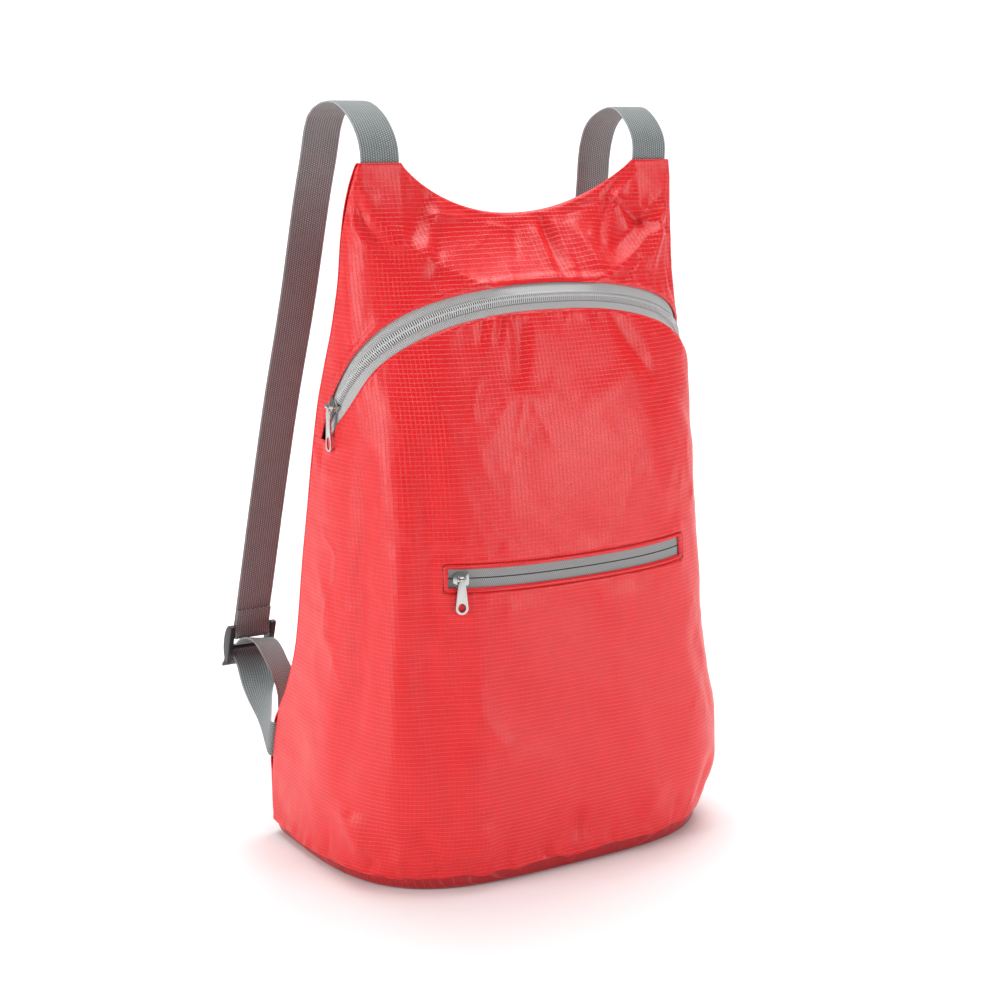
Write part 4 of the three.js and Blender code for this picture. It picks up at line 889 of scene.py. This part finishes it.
def backCloth():
    shares = np.sin(np.linspace(math.pi / 2, -math.pi / 2, 190))
    rise = np.linspace(0, 1, 210)
    tops = topHeight(shares)
    heights = wallBottom + (tops[:, None] - wallBottom) * rise[None, :]
    shareGrid = np.repeat(shares[:, None], len(rise), 1)
    u = shareGrid * bag["halfWidth"]
    toSide = (1 - np.abs(shareGrid)) * bag["halfWidth"]
    toBase = heights - wallBottom
    toTop = tops[:, None] - heights
    calm = smoothStep(toSide, 2, 16) * smoothStep(toBase, 2, 18) * smoothStep(toTop, 1, 12)
    relief = creases(u + 210, heights + 90) * 1.1 * calm
    besideSeam = smoothStep(toSide, 1, 7)
    relief += edgePucker(heights, toSide, 11.0, 14.0, 1.0, 91) * besideSeam * smoothStep(toBase, 0, 10)
    relief += edgePucker(u, toBase, 10.0, 12.0, 0.9, 93) * smoothStep(toBase, 0.5, 5) * besideSeam
    relief += edgePucker(u, toTop, 10.0, 7.0, 0.5, 95) * smoothStep(toTop, 0.8, 5) * besideSeam
    relief -= 0.7 * (1 - smoothStep(toBase, 0.3, 3.0))
    relief -= 0.5 * (1 - smoothStep(toTop, 0, 1.2))
    points = backPoint(shareGrid, heights, bag["cloth"] + relief)
    uv = np.stack([-u, heights * 1.01], -1)
    return clothPiece("backCloth", points, uv, 1.0)


front = frontCloth()
dress(front, redCloth, "front_panel", slot="shell_cloth")
yoke = yokeCloth()
dress(yoke, redCloth, "yoke_panel", slot="shell_cloth")
back = backCloth()
dress(back, redCloth, "back_panel", slot="shell_cloth")
print("cloth walls made")


# Base: a tray whose rim turns up to the walls
def baseCloth():
    rim = bag["rimHeight"] + bag["seamGap"]
    frontEdge = plainFront(turns, rim) + frontNormal(turns, rim) * bag["cloth"]
    backEdge = backPoint(np.linspace(1, -1, 120)[1:-1], rim, bag["cloth"])
    outline = np.concatenate([frontEdge, backEdge])
    frontY = float(sectionValue("front", rim)) * bag["frontReach"]
    seamY = float(sectionValue("seam", rim)) * bag["seamReach"]
    centre = np.array([float(sectionValue("shift", rim)) * bag["halfWidth"], (frontY + seamY) / 2])
    halfDepth = (bag["frontReach"] + bag["seamReach"]) / 2
    around = np.concatenate([[0], np.cumsum(np.linalg.norm(np.diff(outline[:, :2], axis=0), axis=1))])
    # inset and height of each ring, from the rim down to the middle of the floor
    rings = [
        (1.9, 11.4), (1.7, 11.2), (1.6, 10.4), (1.6, 9.4), (1.65, 8.4), (1.7, 7.2), (1.8, 6.0), (2.0, 4.6),
        (2.4, 3.2), (3.0, 1.9), (4.0, 0.8), (5.4, 0.15), (7.6, 0.0),
        (20.0, 0.0), (40.0, 0.0), (60.0, 0.0), (74.0, 0.0),
    ]
    grid = []
    for inset, height in rings:
        pucker = 0.6 * softNoise(around / 8.0, np.full_like(around, height / 9.0), 15)
        fromFloor = float(smoothStep(np.array(height), 0.2, 4))
        pucker *= fromFloor * (1 - float(smoothStep(np.array(height), 9.5, 11.3)))
        x = centre[0] + (outline[:, 0] - centre[0]) * (1 - (inset - pucker) / bag["halfWidth"])
        y = centre[1] + (outline[:, 1] - centre[1]) * (1 - (inset - pucker) / halfDepth)
        grid.append(np.stack([x, y, np.full_like(x, height)], -1))
    points = np.array(grid)
    ringCount, count = points.shape[:2]
    faces = []
    for k in range(ringCount - 1):
        for i in range(count):
            j = (i + 1) % count
            faces.append((k * count + i, (k + 1) * count + i, (k + 1) * count + j, k * count + j))
    vertices = np.concatenate([points.reshape(-1, 3), [[centre[0], centre[1], 0]]])
    last = (ringCount - 1) * count
    for i in range(count):
        faces.append((last + i, len(vertices) - 1, last + (i + 1) % count))
    obj = makeObject("baseCloth", vertices, faces)
    setUv(obj, vertices[:, :2])
    wall = obj.modifiers.new("wall", "SOLIDIFY")
    wall.thickness = 1.0 * millimetre
    wall.offset = -1
    makeActive(obj)
    bpy.ops.object.modifier_apply(modifier="wall")
    smoothShade(obj, 50)
    return obj


base = baseCloth()
# the base wears the darkened copy of the red cloth, painted shade
dress(base, shadedBaseCloth, "base_panel", slot="base_cloth")
print("base made")


# Zips
def frontStrip(name, turnRow, lowOf, highOf, rows, top, thickness, coilAtLow):
    grid = np.linspace(0, 1, rows)
    low = lowOf(turnRow)
    high = highOf(turnRow)
    heights = low[:, None] + (high - low)[:, None] * grid[None, :]
    turnGrid = np.repeat(turnRow[:, None], rows, 1)
    points = frontPoint(turnGrid, heights, top)
    steps = np.linalg.norm(np.diff(points[:, rows // 2], axis=0), axis=1)
    along = np.concatenate([[0], np.cumsum(steps)])
    widths = np.linalg.norm(points[:, -1] - points[:, 0], axis=1)
    fromCoil = grid if coilAtLow else 1 - grid
    uv = np.stack([np.repeat(along[:, None], rows, 1), widths[:, None] * fromCoil[None, :]], -1)
    return clothPiece(name, points, uv, thickness, degrees=40)


zipTurns = np.linspace(-zipArch["endTurn"] + 1.2, zipArch["endTurn"] - 1.2, 420)
tapeTop = -zipArch["tapeSeat"]
upperTape = frontStrip(
    "mainTapeUpper", zipTurns,
    lambda t: archMiddle(t) + 0.25 * archStretch(t),
    lambda t: archUpper(t) + zipArch["tuck"] * np.minimum(archStretch(t), 5),
    9, tapeTop, zipArch["tapeThickness"], True)
dress(upperTape, paleTape, "main_zip_tape_upper", slot="main_zip_tape")
lowerTape = frontStrip(
    "mainTapeLower", zipTurns,
    lambda t: archLower(t) - zipArch["tuck"] * np.minimum(archStretch(t), 5),
    lambda t: archMiddle(t) - 0.25 * archStretch(t),
    9, tapeTop, zipArch["tapeThickness"], False)
dress(lowerTape, paleTape, "main_zip_tape_lower", slot="main_zip_tape")

pocketReach = pocket["halfWidth"] + zipArch["tuck"]
pocketTurns = np.linspace(
    turnAtX(-pocketReach, pocket["height"]), turnAtX(pocketReach, pocket["height"]), 180)
pocketUpper = frontStrip(
    "pocketTapeUpper", pocketTurns,
    lambda t: pocketLevel(t) + 0.12,
    lambda t: pocketLevel(t) + pocket["opening"] / 2 + zipArch["tuck"],
    8, tapeTop, zipArch["tapeThickness"], True)
dress(pocketUpper, pocketTape, "pocket_zip_tape_upper", slot="pocket_zip_tape")
pocketLower = frontStrip(
    "pocketTapeLower", pocketTurns,
    lambda t: pocketLevel(t) - pocket["opening"] / 2 - zipArch["tuck"],
    lambda t: pocketLevel(t) - 0.12,
    8, tapeTop, zipArch["tapeThickness"], False)
dress(pocketLower, pocketTape, "pocket_zip_tape_lower", slot="pocket_zip_tape")


def sweepTube(paths, radius, sides):
    # a list of open paths, each an array of places, made into one mesh of round rods
    vertices = []
    faces = []
    for path in paths:
        path = np.asarray(path)
        along = unit(np.gradient(path, axis=0))
        helper = np.array([0.31, 0.52, 0.79])
        side = unit(np.cross(along, helper))
        other = np.cross(along, side)
        start = len(vertices)
        for p, s, o in zip(path, side, other):
            for k in range(sides):
                a = 2 * math.pi * k / sides
                vertices.append(p + radius * (math.cos(a) * s + math.sin(a) * o))
        for i in range(len(path) - 1):
            for k in range(sides):
                n = (k + 1) % sides
                a = start + i * sides
                faces.append((a + k, a + n, a + sides + n, a + sides + k))
        end = start + (len(path) - 1) * sides
        faces.append(tuple(start + k for k in reversed(range(sides))))
        faces.append(tuple(end + k for k in range(sides)))
    return vertices, faces


coilShape = [(-0.35, 0.95), (0.15, 1.50), (1.0, 1.70), (2.0, 1.50), (2.7, 0.80), (2.8, 0.12)]


def coilRow(name, lowTurn, highTurn, levelOf, lift, shape, radius, material, *replaced, slot):
    fine = np.linspace(lowTurn, highTurn, 1500)
    spine = frontPoint(fine, levelOf(fine), 0.0)
    along = np.concatenate([[0], np.cumsum(np.linalg.norm(np.diff(spine, axis=0), axis=1))])
    count = int(along[-1] / zipArch["pitch"])
    paths = []
    for k in range(count):
        for side, phase in ((1, 0.25), (-1, 0.75)):
            turn = float(np.interp((k + phase) * zipArch["pitch"], along, fine))
            spot = frontPoint(turn, levelOf(turn), 0.0)
            outward = frontNormal(turn, levelOf(turn))
            ahead = frontPoint(turn + 0.3, levelOf(turn + 0.3), 0.0)
            run = ahead - frontPoint(turn - 0.3, levelOf(turn - 0.3), 0.0)
            acrossZip = unit(np.cross(outward, run))
            if acrossZip[2] < 0:
                acrossZip = -acrossZip
            paths.append([spot + acrossZip * side * out + outward * (up + lift) for out, up in shape])
    vertices, faces = sweepTube(paths, radius, 6)
    obj = makeObject(name, vertices, faces)
    smoothShade(obj, 60)
    dress(obj, material, *replaced, slot=slot)
    return obj


coilRow("mainCoil", zipArch["sliderTurn"] + 1.2, zipArch["endTurn"] - 5, archMiddle, -0.35,
        coilShape, 0.44, coilNylon, "main_zip_coil", slot="zip_coil")
hiddenShape = [(-0.5, -1.9), (0.6, -1.4), (1.8, -1.6), (2.3, -2.2)]
coilRow("pocketCoil", pocketLeft, pocketRight, pocketLevel, -0.1,
        hiddenShape, 0.34, coilNylon, "pocket_zip_coil", slot="zip_coil")
print("zips made")


# Hard pieces: the part's own solids with their edges rounded
def roundedCopy(name, node, width, segments, material, body, slot, angle=28):
    source = nodes[node]
    makeActive(source)
    copy = source.copy()
    copy.data = source.data.copy()
    copy.name = name
    copy.parent = None
    for key in list(copy.keys()):
        del copy[key]
    bpy.context.scene.collection.objects.link(copy)
    makeActive(copy)
    bpy.ops.object.mode_set(mode="EDIT")
    bpy.ops.mesh.select_all(action="SELECT")
    bpy.ops.mesh.remove_doubles(threshold=0.00001)
    bpy.ops.mesh.dissolve_limited(angle_limit=math.radians(1.0))
    bpy.ops.object.mode_set(mode="OBJECT")
    edge = copy.modifiers.new("edge", "BEVEL")
    edge.width = width * millimetre
    edge.segments = segments
    edge.limit_method = "ANGLE"
    edge.angle_limit = math.radians(angle)
    edge.use_clamp_overlap = True
    bpy.ops.object.modifier_apply(modifier="edge")
    smoothShade(copy, 40)
    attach(copy, body)
    dress(copy, material, node, slot=slot)
    return copy


for side in ("left", "right"):
    roundedCopy("buckle" + side.capitalize(), "buckle_" + side, 0.55, 3, buckleNylon, "bag", "buckle_plastic")
roundedCopy("mainSliderBody", "main_slider", 0.28, 3, plated, "bag", "zip_metal")
roundedCopy("pocketSliderBody", "pocket_slider", 0.28, 3, plated, "bag", "zip_metal")
roundedCopy("mainPullTab", "main_pull", 0.24, 3, plated, "main_pull_body", "zip_metal")
roundedCopy("pocketPullTab", "pocket_pull", 0.24, 3, plated, "pocket_pull_body", "zip_metal")
print("hard pieces made")


# Straps
def smoothRoute(points, count):
    # centripetal Catmull-Rom, each interval with the same number of steps
    pts = [np.asarray(p, float) for p in points]
    out = []
    last = len(pts) - 1
    for n in range(count + 1):
        place = last * n / count
        i = min(int(place), last - 1)
        t = place - i
        p1, p2 = pts[i], pts[i + 1]
        p0 = pts[i - 1] if i > 0 else 2 * p1 - p2
        p3 = pts[i + 2] if i + 2 <= last else 2 * p2 - p1
        d0 = max(np.dot(p0 - p1, p0 - p1) ** 0.25, 0)
        d1 = max(np.dot(p1 - p2, p1 - p2) ** 0.25, 0)
        d2 = max(np.dot(p2 - p3, p2 - p3) ** 0.25, 0)
        if d1 < 1e-4:
            d1 = 1.0
        if d0 < 1e-4:
            d0 = d1
        if d2 < 1e-4:
            d2 = d1
        m1 = ((p1 - p0) / d0 - (p2 - p0) / (d0 + d1) + (p2 - p1) / d1) * d1
        m2 = ((p2 - p1) / d1 - (p3 - p1) / (d1 + d2) + (p3 - p2) / d2) * d1
        out.append((2 * t**3 - 3 * t**2 + 1) * p1 + (t**3 - 2 * t**2 + t) * m1
                   + (3 * t**2 - 2 * t**3) * p2 + (t**3 - t**2) * m2)
    return out


buckle = {
    "inset": 23.0,
    "barRadius": 1.3,
    "gap": 0.3,
    "topBar": 9.5,
    "lowBar": 9.5,
    "left": {"back": 157.5, "up": 103.0, "lean": 20.0},
    "right": {"back": 138.0, "up": 103.0, "lean": 12.0},
}
wrapRadius = buckle["barRadius"] + buckle["gap"] + webbing["thickness"] / 2

# out, back, up of the shoulder straps above the buckles
shoulderRoutes = {
    "left": [
        (1.000, -0.032, 1.029), (1.000, 0.057, 1.062), (1.000, 0.203, 1.081), (1.000, 0.394, 1.063),
        (1.003, 0.475, 0.998), (1.014, 0.535, 0.935), (1.038, 0.650, 0.793), (1.081, 0.780, 0.637),
        (1.133, 0.893, 0.465), (1.185, 0.932, 0.358),
    ],
    "right": [
        (1.000, -0.051, 1.030), (1.000, 0.029, 1.060), (1.000, 0.130, 1.074), (1.000, 0.312, 1.053),
        (1.003, 0.380, 1.016), (1.014, 0.420, 0.942), (1.038, 0.560, 0.760), (1.081, 0.720, 0.600),
        (1.133, 0.890, 0.455), (1.185, 0.965, 0.358),
    ],
}
# out, back, up, and the direction of the width, of the lower straps' free ends
tailRoute = [
    (0.00, -0.16, 0.11, 1.00, 0.06, -0.04),
    (0.00, -0.38, 0.26, 0.97, 0.18, -0.15),
    (-0.02, -0.78, 0.36, 0.92, 0.30, -0.24),
    (-0.04, -1.18, 0.29, 0.87, 0.42, -0.25),
    (-0.06, -1.55, 0.06, 0.84, 0.52, -0.15),
    (-0.16, -1.79, -0.32, 0.82, 0.57, -0.05),
    (-0.28, -1.78, -0.72, 0.80, 0.60, 0.00),
    (-0.38, -1.60, -1.12, 0.78, 0.62, 0.00),
    (-0.44, -1.46, -1.52, 0.78, 0.62, 0.00),
]


def buckleFrame(hand, place):
    lean = math.radians(place["lean"])
    out = bag["halfWidth"] - buckle["inset"]

    def local(rise, inward):
        return np.array([
            hand * out,
            place["back"] - rise * math.sin(lean) - inward * math.cos(lean),
            place["up"] + rise * math.cos(lean) - inward * math.sin(lean),
        ])

    return local


def shoulderStations(hand, place, route):
    local = buckleFrame(hand, place)
    rows = []
    for depth in (webbing["tuck"], webbing["tuck"] / 2, 0):
        height = bag["height"] - depth
        seam = float(sectionValue("seam", height)) * bag["seamReach"]
        rows.append((hand * strapSpread, seam + bag["seamGap"] / 2, height))
    for out, backShare, up in route:
        rows.append((hand * out * strapSpread, backShare * place["back"], up * bag["height"]))
    rows.append(local(buckle["topBar"] + webbing["foldedEnd"], -wrapRadius))
    rows.append(local(buckle["topBar"] + 6, -wrapRadius))
    places = smoothRoute(rows, 44)
    for i in range(9):
        turn = math.pi * i / 8
        places.append(local(buckle["topBar"] - wrapRadius * math.sin(turn), -wrapRadius * math.cos(turn)))
    lie = -wrapRadius + webbing["thickness"] + buckle["gap"]
    places.append(local(buckle["topBar"] + 2, wrapRadius))
    places.append(local(buckle["topBar"] + 4.5, (wrapRadius + lie) / 2))
    places.append(local(buckle["topBar"] + 7.5, lie))
    places.append(local(buckle["topBar"] + webbing["foldedEnd"], lie))
    return places, [np.array([1.0, 0, 0])] * len(places)


def lowerStations(hand, place):
    local = buckleFrame(hand, place)
    height = webbing["lowerHeight"]

    def seam(h):
        return float(sectionValue("seam", h)) * bag["seamReach"]

    acrossShare = float(sectionValue("shift", height)) + hand * float(sectionValue("width", height))
    seamX = acrossShare * bag["halfWidth"]
    seamY = seam(height) + bag["seamGap"] / 2
    origin = np.array([seamX, seamY, height])
    upright = unit(np.array([0, seam(height + slitReach) - seam(height - slitReach), 2 * slitReach]))
    outwards = np.array([hand, 0.0, 0.0])
    away = np.array([0, upright[2], -upright[1]])
    acrossBars = np.array([-hand, 0.0, 0.0])
    toBars = local(-buckle["lowBar"] + 2, 12)
    halfway = toBars + (origin - toBars) * 0.52
    halfway[0] = hand * (bag["halfWidth"] - buckle["inset"] + 10)
    halfway[2] -= 3
    bendOut, bendRadius = 0.9, 2.2
    seamTurn, slant = math.pi / 2, 0.0

    def bendPlace(run, turn):
        return (origin + outwards * (run + bendRadius * math.sin(turn))
                + away * bendRadius * (1 - math.cos(turn))
                + upright * (run + bendRadius * turn) * math.tan(slant))

    for _ in range(6):
        ahead = halfway - bendPlace(bendOut, seamTurn)
        level = math.hypot(ahead @ outwards, ahead @ away)
        seamTurn = math.atan2(ahead @ away, ahead @ outwards)
        slant = math.atan2(ahead @ upright, level)

    def bendSide(turn):
        return (upright * math.cos(slant) - outwards * math.sin(slant) * math.cos(turn)
                - away * math.sin(slant) * math.sin(turn))

    def leaning(x, y, z):
        return unit(np.array([-hand * x, y, z]))

    places = [bendPlace(-7, 0)]
    sides = [bendSide(0)]
    for i in range(6):
        turn = seamTurn * i / 5
        places.append(bendPlace(bendOut, turn))
        sides.append(bendSide(turn))
    rows = [places[-1], halfway, toBars, local(-buckle["lowBar"] + 2.7, 4),
            local(-buckle["lowBar"] + 4.9, -1.3), local(-1.2, -wrapRadius)]
    rowSides = [sides[-1], leaning(0.30, -0.2, 0.93), leaning(1, 0, 0.1), acrossBars, acrossBars, acrossBars]
    places += smoothRoute(rows, 28)[1:]
    sides += [unit(s) for s in smoothRoute(rowSides, 28)[1:]]
    for i in range(1, 6):
        turn = math.pi / 2 * i / 5
        places.append(local(wrapRadius * math.sin(turn), -wrapRadius * math.cos(turn)))
        sides.append(acrossBars)
    tail = [places[-1]]
    tailSides = [sides[-1]]
    for out, backStep, up, sx, sy, sz in tailRoute:
        tail.append(np.array([
            hand * (bag["halfWidth"] - buckle["inset"] + out * webbing["width"]),
            place["back"] + backStep * webbing["width"],
            place["up"] + up * webbing["width"],
        ]))
        tailSides.append(leaning(sx, sy, sz))
    places += smoothRoute(tail, 24)[1:]
    sides += [unit(s) for s in smoothRoute(tailSides, 24)[1:]]
    return places, sides


def resample(places, sides, step):
    places = np.array(places)
    sides = np.array(sides)
    along = np.concatenate([[0], np.cumsum(np.linalg.norm(np.diff(places, axis=0), axis=1))])
    count = int(along[-1] / step)
    at = np.linspace(0, along[-1], count + 1)
    newPlaces = np.stack([np.interp(at, along, places[:, k]) for k in range(3)], -1)
    newSides = np.stack([np.interp(at, along, sides[:, k]) for k in range(3)], -1)
    for _ in range(6):
        newPlaces[1:-1] = newPlaces[1:-1] * 0.5 + (newPlaces[:-2] + newPlaces[2:]) * 0.25
        newSides[1:-1] = newSides[1:-1] * 0.5 + (newSides[:-2] + newSides[2:]) * 0.25
    return newPlaces, unit(newSides), at


def webbingStrap(name, places, sides, *replaced):
    places, sides, along = resample(places, sides, 0.9)
    tangent = unit(np.gradient(places, axis=0))
    sides = unit(sides - tangent * np.sum(sides * tangent, -1, keepdims=True))
    faceDirection = np.cross(tangent, sides)
    half = webbing["width"] / 2
    ribCount = webbing["ribs"]
    across = np.linspace(-1, 1, ribCount * 4 + 1)
    crown = 0.5 * webbing["thickness"] * np.clip((1 - np.abs(across) ** 14), 0, 1) ** 0.5
    groove = 0.05 * (np.cos(across * math.pi * ribCount) * 0.5 + 0.5)
    height = np.maximum(crown - groove, 0.03)
    outer = [(a * half, h) for a, h in zip(across, height)]
    inner = [(a * half, -h) for a, h in zip(across[::-1], height[::-1])]
    ring = np.array(outer + inner)
    points = (places[:, None, :] + sides[:, None, :] * ring[None, :, 0:1]
              + faceDirection[:, None, :] * ring[None, :, 1:2])
    count, around = points.shape[:2]
    faces = []
    for i in range(count - 1):
        for k in range(around):
            n = (k + 1) % around
            faces.append((i * around + k, i * around + n, (i + 1) * around + n, (i + 1) * around + k))
    faces.append(tuple(range(around - 1, -1, -1)))
    faces.append(tuple((count - 1) * around + k for k in range(around)))
    obj = makeObject(name, points.reshape(-1, 3), faces)
    uv = np.stack([np.repeat(ring[None, :, 0], count, 0) + half, np.repeat(along[:, None], around, 1)], -1)
    setUv(obj, uv.reshape(-1, 2))
    smoothShade(obj, 60)
    dress(obj, greyWebbing, *replaced, slot="webbing")
    return obj


for side, hand in (("left", -1), ("right", 1)):
    places, sides = shoulderStations(hand, buckle[side], shoulderRoutes[side])
    webbingStrap("shoulderStrap" + side.capitalize(), places, sides, "strap_" + side)
    places, sides = lowerStations(hand, buckle[side])
    webbingStrap("lowerStrap" + side.capitalize(), places, sides, "lower_strap_" + side)
print("straps made")


# Stitches
def stitchRow(name, places, outward, length, radius, material, slot):
    # places: the middle of each stitch with its direction
    paths = []
    for (p, direction), out in zip(places, outward):
        ends = [-0.5, -0.32, 0.0, 0.32, 0.5]
        lift = [-0.28, 0.02, 0.10, 0.02, -0.28]
        paths.append([p + direction * e * length + out * h for e, h in zip(ends, lift)])
    vertices, faces = sweepTube(paths, radius, 6)
    obj = makeObject(name, vertices, faces)
    smoothShade(obj, 60)
    dress(obj, material, slot=slot)
    return obj


def pocketStitches():
    width = pocket["frameWidth"]
    half = pocket["opening"] / 2 + width
    leftArc = float(arcAt(np.array(pocketLeft), np.array(pocket["height"]))) - width
    rightArc = float(arcAt(np.array(pocketRight), np.array(pocket["height"]))) + width
    nearPocket = arcLengths[:, pocketRow]
    corners = [(leftArc, -half), (rightArc, -half), (rightArc, half), (leftArc, half), (leftArc, -half)]
    places = []
    outward = []
    for (u0, v0), (u1, v1) in zip(corners[:-1], corners[1:]):
        run = math.hypot(u1 - u0, v1 - v0)
        count = int(round(run / pocket["stitchPitch"]))
        for k in range(count):
            middle = (k + 0.5) / count
            ends = []
            for share in (middle - 0.02 / count * 10, middle + 0.02 / count * 10):
                turn = np.interp(u0 + (u1 - u0) * share, nearPocket, arcTurns)
                height = float(pocketLevel(turn)) + v0 + (v1 - v0) * share
                relief = frontRelief(np.array([turn]), np.array([height]))[0]
                ends.append(frontPoint(turn, height, bag["cloth"] + relief))
            direction = unit(ends[1] - ends[0])
            places.append(((ends[0] + ends[1]) / 2, direction))
            outward.append(frontNormal(turn, height))
    length = pocket["stitchPitch"] * 0.66
    return stitchRow("pocketStitches", places, outward, length, 0.30, redThread, "shell_cloth")


pocketStitches()
print("stitches made")


# Floor, light and camera
studio = {
    "floor": (0.93, 0.93, 0.93),
    "world": 0.24,
    "keyPower": 20.0,
    "frontPower": 20.0,
    "topPower": 46.0,
    "backPower": 110.0,
}


def studioFloor():
    bpy.ops.mesh.primitive_plane_add(size=2, location=(0, 0, 0))
    floor = bpy.context.object
    floor.name = "studioFloor"
    rows = [(-6, 0), (2.5, 0), (3.4, 0.12), (4.1, 0.5), (4.5, 1.2), (4.6, 2.2), (4.6, 7.0)]
    vertices = []
    faces = []
    turn = Matrix.Rotation(math.radians(-30.9), 4, "Z")
    for y, z in rows:
        for x in (-9, 9):
            vertices.append(turn @ Vector((x, y, z)))
    for i in range(len(rows) - 1):
        faces.append((2 * i, 2 * i + 1, 2 * i + 3, 2 * i + 2))
    floor.data.clear_geometry()
    floor.data.from_pydata(vertices, [], faces)
    floor.data.update()
    smoothShade(floor, 60)
    material, _, shader = newMaterial("pale studio paper")
    shader.inputs["Base Color"].default_value = (*studio["floor"], 1)
    shader.inputs["Roughness"].default_value = 0.9
    shader.inputs["Specular IOR Level"].default_value = 0.1
    floor.data.materials.append(material)
    floor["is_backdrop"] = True


def areaLight(name, place, target, size, power, colour=(1, 1, 1)):
    light = bpy.data.lights.new(name, "AREA")
    light.shape = "RECTANGLE"
    light.size = size[0]
    light.size_y = size[1]
    light.energy = power
    light.color = colour
    obj = bpy.data.objects.new(name, light)
    obj.location = place
    obj.rotation_euler = (Vector(target) - Vector(place)).to_track_quat("-Z", "Y").to_euler()
    bpy.context.scene.collection.objects.link(obj)
    return obj


studioFloor()
areaLight("keySoftbox", (-1.8, 0.0, 0.62), (0, 0, 0.22), (1.0, 1.0), studio["keyPower"])
areaLight("frontSoftbox", (1.10, -1.85, 0.62), (0, 0, 0.22), (1.0, 1.15), studio["frontPower"])
areaLight("topSoftbox", (0.2, 0.3, 2.2), (0, 0, 0.1), (1.8, 1.8), studio["topPower"])
areaLight("backdropSoftbox", (1.0, 1.9, 3.0), (2.0, 3.4, 0.4), (4.0, 1.0), studio["backPower"])

world = bpy.data.worlds.new("studio")
world.use_nodes = True
world.node_tree.nodes["Background"].inputs["Color"].default_value = (1, 1, 1, 1)
world.node_tree.nodes["Background"].inputs["Strength"].default_value = studio["world"]
bpy.context.scene.world = world
bpy.context.scene.view_settings.view_transform = "Standard"
bpy.context.scene.view_settings.look = "None"

cameraData = bpy.data.cameras.new("camera")
cameraData.lens = 64.9
cameraData.sensor_width = 36
cameraData.clip_end = 50
camera = bpy.data.objects.new("camera", cameraData)
camera.location = (-0.5760, -0.9469, 0.4553)
camera.rotation_euler = (math.radians(78.03), 0, math.radians(-30.9))
bpy.context.scene.collection.objects.link(camera)
bpy.context.scene.camera = camera

plain = lambda box: [[round(float(v), 5) for v in corner] for corner in box]
{"cad": plain(cadBounds), "visual": plain(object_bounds())}
print("scene ready")
